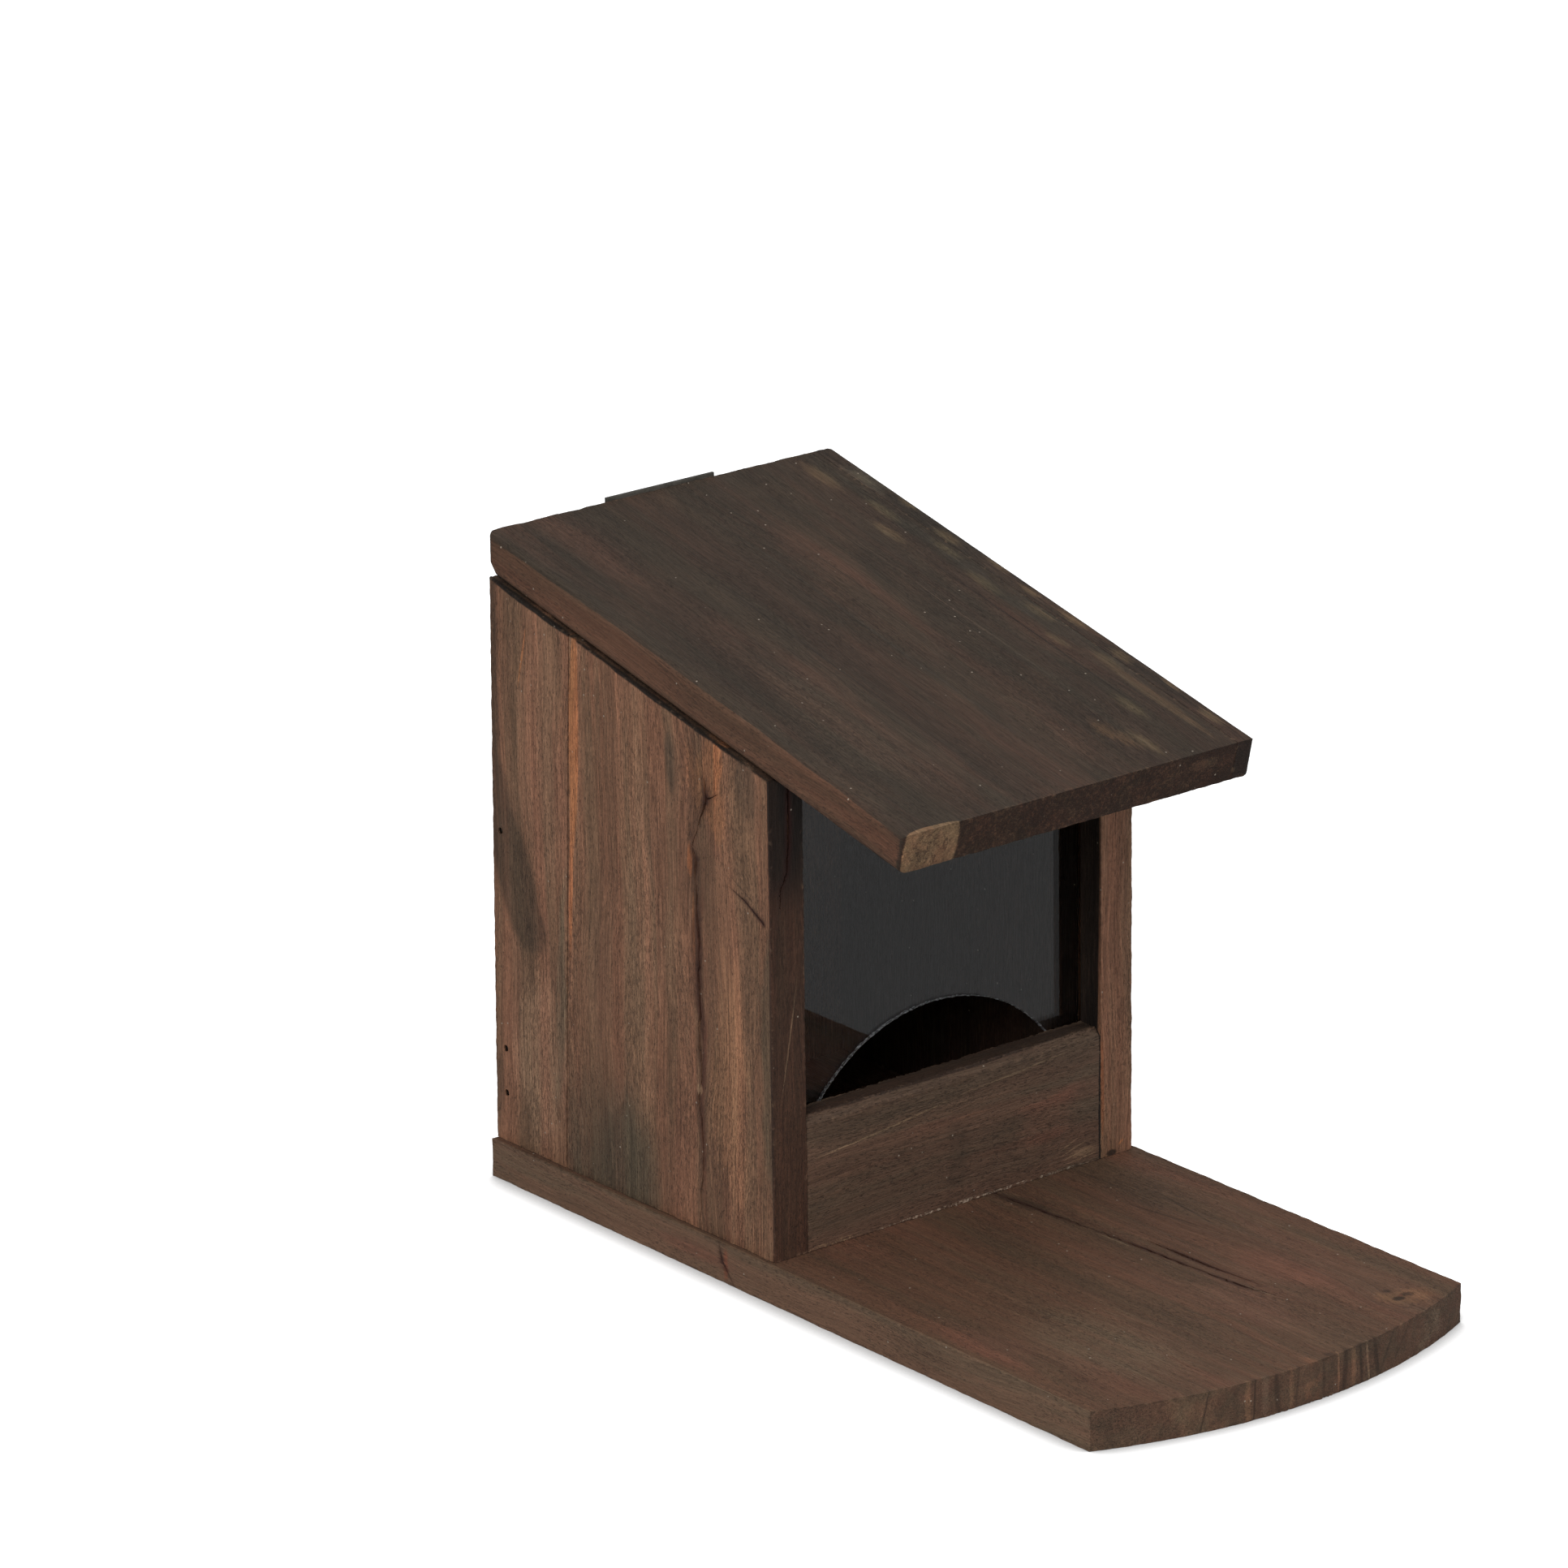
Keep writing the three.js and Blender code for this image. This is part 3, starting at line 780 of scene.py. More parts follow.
def paint_patches(graph, colour, place, grain, wood, patches):
    """Lays the placed patches over the stain, a few of them painted shade; broad ones wander more than
    narrow ones.
    """
    if not patches:
        return colour
    wobble = graph.noise(grain, (0.10, 0.10, 0.03), detail=4, output="Color")
    wobble = graph.vector("SUBTRACT", wobble, (0.5, 0.5, 0.5))
    loose = graph.vector("ADD", place, graph.vector("MULTIPLY", wobble, LOOSE_WANDER))
    tight = graph.vector("ADD", place, graph.vector("MULTIPLY", wobble, TIGHT_WANDER))
    specks = graph.remap(graph.noise(grain, (0.9, 0.9, 0.7), detail=3, roughness=0.8), 0.50, 0.58)
    for patch in patches:
        mask = graph.group("stain_and_shade_patch", {
            "Vector": tight if min(patch.reach) < NARROW else loose, "Place": patch.place,
            "Turn": patch.turn, "Reach": patch.reach, "Core": patch.core})["Mask"]
        torn = graph.math("MULTIPLY_ADD", graph.math("SUBTRACT", wood["Tone"], 0.5), 1.8, mask)
        torn = graph.math("MULTIPLY", graph.remap(torn, 0.05, 0.95, 0, patch.strength),
                          graph.remap(mask, 0, 0.25))
        if patch.speckled:
            torn = graph.math("MULTIPLY", torn, specks)
        colour = graph.mix(torn, colour, linear(patch.tone))
    return colour


def dress(piece, material, body, slot, *nodes):
    """Gives a finished piece its material and body, and hides the CAD nodes that it stands for. The slot is
    not used.
    """
    piece.data.materials.clear()
    piece.data.materials.append(material)
    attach(piece, body)
    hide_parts(*nodes)
    return piece


def finish_board(piece, node, stain, slot, body, cracks=(), knots=(), across="x"):
    """Stores what the stain follows on the board, and stains it."""
    timber = bpy.context.scene.feeder_timber
    planes = hull_planes(node)
    thin_out(piece, timber.triangle_count)
    keep_within(piece, planes)
    smooth(piece)
    piece.vertex_groups.clear()
    places = corners_of(piece)
    set_attribute(piece, "edge", edge_closeness(places, planes, timber.wear_width))
    set_attribute(piece, "crack", crack_closeness(places, cracks))
    set_attribute(piece, "bend", grain_bend(places, knots, across))
    dress(piece, stained_wood(piece.name + "_stain", stain), body, slot, node)


def box_point(node, x, y, z):
    """A place in a CAD node's box, from shares of its width, depth and height."""
    low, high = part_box(node)
    return Vector([a + (b - a) * share for a, b, share in zip(low, high, (x, y, z))])


def box_path(node, shares):
    return [box_point(node, *share) for share in shares]


def spot(node, share, reach, tone, strength, **more):
    """A patch at shares of a CAD node's box, with its half sizes in millimetres."""
    return Patch(box_point(node, *share), [length * MM for length in reach], tone, strength, **more)


def hairline(node, share, reach, tone, strength, **more):
    """A patch that is as dense as a drawn line at its middle."""
    return spot(node, share, reach, tone, strength, core=0.3, **more)


# Operators, one for each piece or group of like pieces


def groove_cutter(face_clearance=0.3 * MM, side_clearance=0.8 * MM, headroom=60 * MM):
    """The pane with its clearances, longer at the top: it leaves the grooves in both sides."""
    low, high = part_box("window_pane")
    room = Vector((side_clearance, face_clearance, 0))
    return add_block("groove", low - room, high + room + UP * headroom)


def holes_for(prefix, outward):
    return [rod_hole(node, outward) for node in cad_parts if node.startswith(prefix)]


BASE_CRACK_SHARES = (
    (0.605, 0.54, 1), (0.615, 0.46, 1), (0.627, 0.40, 1), (0.638, 0.32, 1), (0.647, 0.24, 1),
    (0.655, 0.19, 1), (0.672, 0.15, 1))
BASE_CRACK_WIDTHS = (0.5 * MM, 0.7 * MM, 0.3 * MM, 0.7 * MM, 0.4 * MM, 0.7 * MM, 0.2 * MM)
BASE_SPLIT_SHARES = ((0.672, 0.34, 1), (0.674, 0.29, 1), (0.675, 0.245, 1), (0.688, 0.18, 1))
BASE_SPLIT_WIDTHS = (0.2 * MM, 0.9 * MM, 0.8 * MM, 0.2 * MM)
BASE_EDGE_CRACK_SHARES = ((0, 0.62, 1), (0, 0.615, 0.55), (0, 0.595, 0.0))
BASE_EDGE_CRACK_WIDTHS = (0.1 * MM, 0.25 * MM, 0.1 * MM)

Streak = namedtuple("Streak", "share reach tone strength lean", defaults=(0,))
BOW_STREAK_SHARES = (
    Streak(0.20, 22, (0.40, 0.31, 0.24), 0.7), Streak(0.236, 0.5, DARK, 0.8, 14),
    Streak(0.306, 1.6, UMBER, 0.6), Streak(0.334, 1.5, TAN, 0.6), Streak(0.350, 0.5, DARK, 0.8, 3),
    Streak(0.376, 1.9, GREY_TAN, 0.7), Streak(0.405, 1.3, DARK, 0.6, -4), Streak(0.44, 1.2, TAN, 0.4),
    Streak(0.455, 0.5, DARK, 0.5, 5), Streak(0.49, 3.4, WARM_TAN, 0.6), Streak(0.525, 0.9, DARK, 0.5),
    Streak(0.552, 2.0, DARK, 0.7, 4), Streak(0.585, 1.5, DARK, 0.75, 4), Streak(0.567, 0.5, TAN, 0.6),
    Streak(0.610, 1.4, TAN, 0.5), Streak(0.633, 1.0, DARK, 0.7, -5), Streak(0.654, 0.7, PALE, 0.5, -6),
    Streak(0.680, 1.5, DARK, 0.7, -8), Streak(0.715, 0.7, DARK, 0.5, 30), Streak(0.76, 0.7, DARK, 0.4, 38),
    Streak(0.88, 16, GREY_TAN, 0.6))


def bow_point(node, share, height):
    """A place on a board's bowed front, from shares of its width and height."""
    low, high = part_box(node)
    places = corners_of(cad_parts[node])
    half = (high[0] - low[0]) / 2
    corner = places[np.abs(places[:, 0] - low[0]) < 0.1 * MM, 1].min()
    bulge = corner - low[1]
    radius = (half * half + bulge * bulge) / (2 * bulge)
    aside = (2 * share - 1) * half
    drop = radius - math.sqrt(radius * radius - aside * aside)
    return Vector(((low[0] + high[0]) / 2 + aside, low[1] + drop, low[2] + (high[2] - low[2]) * height))


def bow_streaks(node, depth=2.5 * MM, height=14 * MM, level=0.8):
    """The end grain's streaks across the bowed front, in its own shares of the width."""
    return [
        Patch(bow_point(node, streak.share, 0.5), (streak.reach * MM, depth, height), streak.tone,
              level * streak.strength, core=0.1, turn=about_y(streak.lean))
        for streak in BOW_STREAK_SHARES]


class FEEDER_OT_base_board(bpy.types.Operator):
    """Models the base board with its bowed front, cracks and knot"""
    bl_idname = "feeder.base_board"
    bl_label = "Base board"

    def execute(self, context):
        node = "base_board"
        mark = partial(spot, node)
        line = partial(hairline, node)
        piece = saw_board("base_board_timber", node, seed=3, stretch=(1, 6, 1), ragged=FRONT)
        cracks = [
            Crack(box_path(node, BASE_CRACK_SHARES), BASE_CRACK_WIDTHS, 2.4 * MM, UP),
            Crack(box_path(node, BASE_SPLIT_SHARES), BASE_SPLIT_WIDTHS, 2.8 * MM, UP),
            Crack(box_path(node, BASE_EDGE_CRACK_SHARES), BASE_EDGE_CRACK_WIDTHS, 1.0 * MM, LEFT,
                  halo=0.4 * MM),
        ]
        cutters = [crack_cutter(crack, seed) for seed, crack in enumerate(cracks)]
        cut_away(piece, cutters + holes_for("base_screw", -UP))
        knot = box_point(node, 0.86, 0.067, 1)
        figure = box_point(node, 0.83, 0.38, 1)
        stain = Stain(
            tone=context.scene.feeder_timber.base_tone, turn=GRAIN_TO_REAR, along=REAR, seed=5.0,
            pith=(210, 6, 0), ring_gap=4.2, rings=0.10, contrast=0.19, blotch=0.35, warmth=0.30,
            end_tone=(0.335, 0.25, 0.195), end_rings=0.1,
            patches=(
                mark((0.24, 0.17, 1), (26, 42, 14), (0.41, 0.33, 0.265), 0.6),
                mark((0.07, 0.24, 1), (10, 30, 14), REDDISH, 0.5),
                mark((0.60, 0.15, 1), (9, 30, 14), REDDISH, 0.5),
                mark((0.78, 0.20, 1), (12, 26, 14), REDDISH, 0.4),
                # painted shade at the foot of the sill
                mark((0.62, 0.50, 1), (4, 18, 14), DARK, 0.5),
                Patch(knot, (10 * MM, 9 * MM, 9 * MM), (0.47, 0.34, 0.245), 0.6),
                line((0.850, 0.064, 1), (2.6, 1.9, 4), DARK, 0.85),
                line((0.875, 0.073, 1), (2.2, 2.7, 4), DARK, 0.75),
                line((0.858, 0.086, 1), (1.6, 1.6, 4), DARK, 0.6),
                line((0.862, 0.069, 1), (1.1, 0.9, 4), (0.36, 0.225, 0.17), 0.9),
                mark((0.82, 0.40, 1), (4.5, 16, 4), UMBER, 0.5, core=0.2),
                line((0.79, 0.38, 1), (0.6, 20, 3), DARK, 0.5, turn=about_z(9)),
                line((0.85, 0.38, 1), (0.6, 20, 3), DARK, 0.5, turn=about_z(-9)),
                line((0.622, 0.36, 1), (0.4, 9, 3), STRAW, 0.7, turn=about_z(2)),
                line((0.664, 0.17, 1), (0.4, 8, 3), STRAW, 0.8, turn=about_z(5)),
                # painted shade on the floor inside the house
                mark((0.5, 0.77, 1), (44, 50, 5), (0.22, 0.16, 0.12), 0.8, core=0.7),
                mark((0, 0.55, 0.5), (1.2, 150, 30), (0.42, 0.33, 0.265), 0.9, core=0.8),
                mark((0, 0.609, 0.5), (1.2, 1.7, 8), (0.47, 0.28, 0.20), 0.8, core=0),
                mark((0, 0.66, 0.5), (1.2, 26, 4), REDDISH, 0.6, core=0),
                mark((0, 0.30, 0.5), (1.2, 24, 5), (0.36, 0.29, 0.23), 0.6, core=0),
                *bow_streaks(node),
            ))
        finish_board(piece, node, stain, "base_wood", "house", cracks,
                     [Knot(knot, 9 * MM, 16 * MM, 0.8), Knot(figure, 9 * MM, 26 * MM, 0.6)])
        return {"FINISHED"}


SIDE_CRACK_SHARES = (
    (0, 0.302, 0.835), (0, 0.290, 0.798), (0, 0.323, 0.764), (0, 0.336, 0.737), (0, 0.362, 0.700),
    (0, 0.345, 0.682), (0, 0.349, 0.642), (0, 0.341, 0.574), (0, 0.335, 0.506), (0, 0.341, 0.472),
    (0, 0.335, 0.404), (0, 0.343, 0.336), (0, 0.333, 0.288), (0, 0.346, 0.261), (0, 0.352, 0.241),
    (0, 0.334, 0.186), (0, 0.334, 0.132), (0, 0.346, 0.078), (0, 0.353, 0.016))
SIDE_CRACK_WIDTHS = (
    0.4 * MM, 1.4 * MM, 0.7 * MM, 0.4 * MM, 0.5 * MM, 1.2 * MM, 0.8 * MM, 0.9 * MM, 1.0 * MM, 1.1 * MM,
    0.9 * MM, 1.0 * MM, 0.7 * MM, 0.3 * MM, 0.8 * MM, 0.6 * MM, 0.7 * MM, 0.5 * MM, 0.3 * MM)
SIDE_BRANCH_SHARES = ((0, 0.290, 0.798), (0, 0.270, 0.803), (0, 0.235, 0.815))
SIDE_BRANCH_WIDTHS = (0.5 * MM, 0.3 * MM, 0.15 * MM)
SIDE_CHECK_SHARES = ((0, 0.195, 0.656), (0, 0.120, 0.642), (0, 0.03, 0.612))
SIDE_CHECK_WIDTHS = (0.1 * MM, 0.3 * MM, 0.4 * MM)
EDGE_CRACK_SHARES = (
    (0.58, 0, 0.90), (0.58, 0, 0.80), (0.57, 0, 0.745), (0.51, 0, 0.70), (0.32, 0, 0.672),
    (0.31, 0, 0.64))
EDGE_CRACK_WIDTHS = (1.0 * MM, 0.9 * MM, 0.9 * MM, 0.7 * MM, 0.5 * MM, 0.3 * MM)


class FEEDER_OT_left_side(bpy.types.Operator):
    """Models the two boards of the left side, with their crack, knots and pane groove"""
    bl_idname = "feeder.left_side"
    bl_label = "Left side"

    def execute(self, context):
        tone = context.scene.feeder_timber.side_tone
        self.model_rear(tone)
        self.model_front(tone)
        return {"FINISHED"}

    def model_rear(self, tone):
        node = "left_side_rear_board"
        mark = partial(spot, node)
        line = partial(hairline, node)
        piece = saw_board("left_side_rear_timber", node, seed=11, stretch=(1, 1, 7), ragged=UP, glued=FRONT)
        cut_away(piece, holes_for("back_brad_left", LEFT))
        tongue = about_x(-16)
        stain = Stain(
            tone=tone, turn=GRAIN_UP_SIDE, along=UP, seed=17.0, pith=(-160, 60, 0), ring_gap=3.0,
            rings=0.10, contrast=0.36, blotch=0.3, warmth=0.4, end_tone=UMBER, end_rings=0.5,
            patches=(
                mark((0, 0.32, 0.74), (14, 13, 56), (0.525, 0.38, 0.30), 0.85, core=0.4),
                mark((0, 0.40, 0.18), (14, 16, 32), (0.56, 0.425, 0.34), 0.85, core=0.3),
                mark((0, 1.0, 0.80), (14, 9, 48), (0.35, 0.26, 0.205), 0.95, core=0.5),
                mark((0, 0.92, 0.60), (1.9, 9, 36), (0.34, 0.255, 0.20), 0.9, core=0.5, turn=tongue),
                mark((0, 0.68, 0.48), (1.9, 9.5, 24), (0.33, 0.25, 0.195), 0.9, core=0.6, turn=tongue),
                mark((0, 0.47, 0.405), (1.9, 6.5, 9), (0.34, 0.255, 0.20), 0.8, core=0.4, turn=tongue),
                mark((0, 0.17, 0.32), (14, 3.0, 55), (0.43, 0.37, 0.30), 0.7, turn=about_x(2.3)),
                line((0, 0.56, 0.88), (6, 0.5, 13), ORANGE, 0.8, turn=about_x(12)),
                mark((0, 1.0, 0.10), (14, 5, 16), UMBER, 0.6),
                # painted shade of the gap under the lid
                mark((0, 0.5, 0.977), (1.9, 40, 1.4), UNDER_LID_SHADE, 1.0, core=0.4, turn=ROOF_LEAN),
            ))
        finish_board(piece, node, stain, "side_wood", "house", across="y")

    def model_front(self, tone):
        node = "left_side_front_board"
        mark = partial(spot, node)
        line = partial(hairline, node)
        piece = saw_board("left_side_front_timber", node, seed=23, stretch=(1, 1, 7), ragged=UP, glued=REAR)
        cracks = [
            Crack(box_path(node, SIDE_CRACK_SHARES), SIDE_CRACK_WIDTHS, 3.4 * MM, LEFT, halo=1.9 * MM),
            Crack(box_path(node, SIDE_BRANCH_SHARES), SIDE_BRANCH_WIDTHS, 1.5 * MM, LEFT),
            Crack(box_path(node, SIDE_CHECK_SHARES), SIDE_CHECK_WIDTHS, 0.6 * MM, LEFT, halo=0.7 * MM),
            Crack(box_path(node, EDGE_CRACK_SHARES), EDGE_CRACK_WIDTHS, 7.0 * MM, FRONT, halo=1.3 * MM),
        ]
        cutters = [crack_cutter(crack, 7 + seed) for seed, crack in enumerate(cracks)]
        cut_away(piece, cutters + [groove_cutter()])
        knot = box_point(node, 0, 0.29, 0.79)
        lower_knot = box_point(node, 0, 0.345, 0.255)
        end_knot = box_point(node, 0, 0.02, 0.615)
        beside_joint = {"turn": about_x(2.4)}
        stain = Stain(
            tone=tone, turn=GRAIN_UP_SIDE, along=UP, seed=31.0, pith=(-30, 90, 0), ring_gap=3.4,
            rings=0.10, contrast=0.38, blotch=0.35, warmth=0.3, end_tone=UMBER, end_rings=0.5,
            patches=(
                mark((0, 0.76, 0.02), (14, 34, 44), (0.335, 0.278, 0.222), 1.0, core=0.1),
                mark((0, 0.0, 0.36), (14, 7, 70), (0.38, 0.31, 0.245), 0.85, core=0.4),
                mark((0, 0.21, 0.30), (14, 11, 46), (0.58, 0.43, 0.325), 0.85, core=0.2),
                mark((0, 0.60, 0.55), (14, 14, 60), (0.53, 0.40, 0.315), 0.7, core=0.2),
                mark((0, 0.30, 0.815), (14, 9, 19), (0.56, 0.385, 0.275), 0.85, core=0.3),
                mark((0, 0.245, 0.87), (14, 3.2, 13), ORANGE, 0.8, turn=about_x(22)),
                mark((0, 0.375, 0.675), (14, 1.8, 7), ORANGE, 0.9),
                line((0, 0.360, 0.55), (5, 0.9, 16), ORANGE, 0.7),
                # painted shade of the gap under the lid
                mark((0, 0.5, 0.942), (1.9, 70, 1.4), UNDER_LID_SHADE, 1.0, core=0.4, turn=ROOF_LEAN),
                mark((0, 0.285, 0.72), (14, 5, 6), (0.46, 0.32, 0.25), 0.7),
                mark((0, 0.44, 0.83), (14, 6, 13), (0.29, 0.235, 0.195), 0.7),
                mark((0, 0.10, 0.83), (14, 8, 13), (0.33, 0.25, 0.20), 0.7),
                mark((0, 0.335, 0.40), (14, 3.0, 64), (0.33, 0.20, 0.155), 0.75),
                mark((0, 0.922, 0.82), (1.9, 2.4, 36), ORANGE, 0.95, core=0.6, **beside_joint),
                line((0, 0.950, 0.56), (5, 1.2, 34), ORANGE, 0.85, **beside_joint),
                line((0, 0.345, 0.262), (5, 1.9, 2.2), (0.60, 0.47, 0.37), 0.8),
                mark((0, 0.73, 0.158), (5, 7, 2.2), (0.44, 0.35, 0.28), 0.6, core=0),
                line((0, 0.695, 0.205), (5, 0.35, 6), DARK, 0.7),
                line((0, 0.755, 0.07), (5, 0.35, 9), (0.42, 0.35, 0.28), 0.5),
                line((0, 0.527, 0.555), (5, 0.35, 7), DARK, 0.6),
                line((0, 0.44, 0.22), (5, 0.3, 22), DARK, 0.35),
                line((0, 0.205, 0.36), (5, 0.3, 30), DARK, 0.5),
                line((0, 0.13, 0.26), (5, 0.3, 7), DARK, 0.5),
                line((0, 0.22, 0.12), (5, 0.35, 10), DARK, 0.5),
                line((0, 0.13, 0.660), (5, 8, 0.35), DARK, 0.4, turn=about_x(28)),
                mark((0.5, 0, 0.4), (30, 1.1, 160), (0.235, 0.15, 0.11), 0.9, core=0.7),
                mark((0.5, 0, 0.80), (30, 1.1, 34), (0.12, 0.083, 0.064), 0.9, core=0.3),
                mark((0.68, 0, 0.86), (6, 1.2, 30), (0.10, 0.07, 0.055), 0.9, core=0.5),
                line((0.52, 0, 0.40), (0.3, 1.1, 23), STRAW, 0.55, turn=about_y(9.6)),
            ))
        finish_board(
            piece, node, stain, "side_wood", "house", cracks,
            [Knot(knot, 8 * MM, 20 * MM, 0.8), Knot(lower_knot, 5 * MM, 14 * MM, 0.8),
             Knot(end_knot, 7 * MM, 16 * MM, 0.8)], across="y")


class FEEDER_OT_right_side(bpy.types.Operator):
    """Models the right side board with its pane groove"""
    bl_idname = "feeder.right_side"
    bl_label = "Right side"

    def execute(self, context):
        node = "right_side_board"
        mark = partial(spot, node)
        line = partial(hairline, node)
        piece = saw_board("right_side_timber", node, seed=37, stretch=(1, 1, 7), ragged=UP)
        cut_away(piece, holes_for("back_brad_right", RIGHT) + [groove_cutter()])
        knot = box_point(node, 1, 0.62, 0.38)
        stain = Stain(
            tone=context.scene.feeder_timber.side_tone, turn=GRAIN_UP_SIDE, along=UP, seed=43.0,
            pith=(-60, -80, 0), ring_gap=3.6, rings=0.12, contrast=0.36, blotch=0.4, warmth=0.4,
            end_tone=UMBER, end_rings=0.5,
            patches=(
                mark((1, 0.62, 0.38), (14, 10, 22), ORANGE, 0.5),
                line((1, 0.62, 0.38), (5, 1.9, 3.4), DARK, 0.85),
                mark((1, 0.2, 0.7), (14, 14, 40), UMBER, 0.6),
                mark((1, 0.9, 0.2), (14, 16, 34), REDDISH, 0.5),
                mark((0.6, 0, 0.4), (30, 1.1, 160), (0.465, 0.34, 0.265), 0.85, core=0.7),
                line((0.05, 0, 0.13), (0.9, 1.1, 22), (0.52, 0.32, 0.215), 0.85),
                line((0.35, 0, 0.005), (2.6, 1.1, 1.3), DARK, 0.9),
                line((0.65, 0, 0.02), (1.6, 1.1, 0.5), ORANGE, 0.8, turn=about_y(-35)),
                mark((0, 0.055, 0.6), (1.3, 6.0, 160), SHADED, 1.0, core=0.85),
                # painted shade over the unlit inner face, seen through the pane
                mark((0, 0.55, 0.5), (1.3, 72, 130), (0.19, 0.14, 0.11), 0.95, core=0.7),
            ))
        finish_board(piece, node, stain, "side_wood", "house", knots=[Knot(knot, 9 * MM, 22 * MM, 0.8)],
                     across="y")
        return {"FINISHED"}


class FEEDER_OT_back_board(bpy.types.Operator):
    """Models the back board between the sides"""
    bl_idname = "feeder.back_board"
    bl_label = "Back board"

    def execute(self, context):
        node = "back_board"
        mark = partial(spot, node)
        line = partial(hairline, node)
        piece = saw_board("back_board_timber", node, seed=47, stretch=(1, 1, 7))
        knot = box_point(node, 0.34, 1, 0.62)
        stain = Stain(
            tone=context.scene.feeder_timber.back_tone, turn=GRAIN_UP, along=UP, seed=53.0,
            pith=(10, 90, 0), ring_gap=3.2, rings=0.15, contrast=0.34, blotch=0.4, warmth=0.4,
            end_tone=UMBER, end_rings=0.5,
            patches=(
                mark((0.34, 1, 0.62), (8, 14, 18), ORANGE, 0.45),
                line((0.34, 1, 0.62), (1.9, 5, 3), DARK, 0.85),
                mark((0.8, 1, 0.3), (14, 14, 44), UMBER, 0.6),
                mark((0.15, 1, 0.15), (12, 14, 24), REDDISH, 0.5),
            ))
        finish_board(piece, node, stain, "back_wood", "house", knots=[Knot(knot, 8 * MM, 20 * MM, 0.8)])
        return {"FINISHED"}


class FEEDER_OT_front_sill(bpy.types.Operator):
    """Models the sill across the front, with its uneven top"""
    bl_idname = "feeder.front_sill"
    bl_label = "Front sill"

    def execute(self, context):
        node = "front_sill"
        mark = partial(spot, node)
        line = partial(hairline, node)
        piece = saw_board("front_sill_timber", node, seed=59, stretch=(6, 1, 1), ragged=UP)
        stain = Stain(
            tone=context.scene.feeder_timber.sill_tone, turn=GRAIN_TO_RIGHT, along=RIGHT, seed=61.0,
            pith=(80, 60, 0), ring_gap=4.0, rings=0.08, contrast=0.24, blotch=0.2, warmth=0.2,
            end_tone=UMBER, end_rings=0.5,
            patches=(
                mark((0.82, 0, 0.45), (16, 14, 8), REDDISH, 0.5),
                mark((0.50, 0, 0.30), (6, 14, 12), (0.27, 0.215, 0.175), 0.6),
                mark((0.5, 0.55, 1), (60, 4.2, 1.1), (0.19, 0.135, 0.105), 0.85, core=0.8),
                line((0.27, 0, 0.745), (30, 4, 0.4), STRAW, 0.7, turn=about_y(-6)),
                line((0.70, 0, 0.86), (26, 4, 0.4), STRAW, 0.5, turn=about_y(-4)),
                *[line((0.93 - 0.012 * step, 0, 0.05 + 0.045 * step), (8 - step, 4, 0.35), STRAW, 0.65,
                       turn=about_y(-4 - 5 * step)) for step in range(4)],
                mark((0.94, 0, 0.09), (7, 1.9, 2.6), STRAW, 0.7, core=0),
                mark((1, 0, 0.5), (0.8, 3, 40), SHADED, 0.95, core=0.6),
                line((0.55, 0, 0.645), (8, 4, 0.5), (0.45, 0.34, 0.27), 0.5),
                mark((0.60, 0, 0.008), (42, 4, 0.75), DUST, 0.75, core=0.6, speckled=True),
                mark((0.10, 0, 0.01), (12, 4, 1.1), STRAW, 0.9, core=0.3, speckled=True),
            ))
        finish_board(piece, node, stain, "sill_wood", "house", across="z")
        return {"FINISHED"}


LID_MOTTLE_SHARES = (
    (0.93, 0.93, 4.0), (0.96, 0.80, 3.5), (0.90, 0.74, 3.0), (0.975, 0.66, 3.0), (0.95, 0.55, 3.5),
    (0.98, 0.44, 3.0), (0.93, 0.36, 2.5), (0.975, 0.28, 3.0), (0.88, 0.16, 3.5), (0.80, 0.06, 3.0))
STRIP_MOTTLE_SHARES = (
    (0.3, 0.90, 2.6), (0.6, 0.80, 2.2), (0.3, 0.69, 3.0), (0.7, 0.58, 2.4), (0.4, 0.50, 2.2),
    (0.5, 0.40, 3.0), (0.3, 0.28, 2.6), (0.7, 0.18, 2.2), (0.4, 0.08, 2.6))


def top_share(node, along):
    """How high a sloping board's top lies in the board's box, for a share of its depth."""
    low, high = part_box(node)
    top = max(hull_planes(node), key=lambda plane: plane.normal[2])
    behind = low[1] + (high[1] - low[1]) * along - top.point[1]
    height = top.point[2] - behind * top.normal[1] / top.normal[2]
    return (height - low[2]) / (high[2] - low[2])


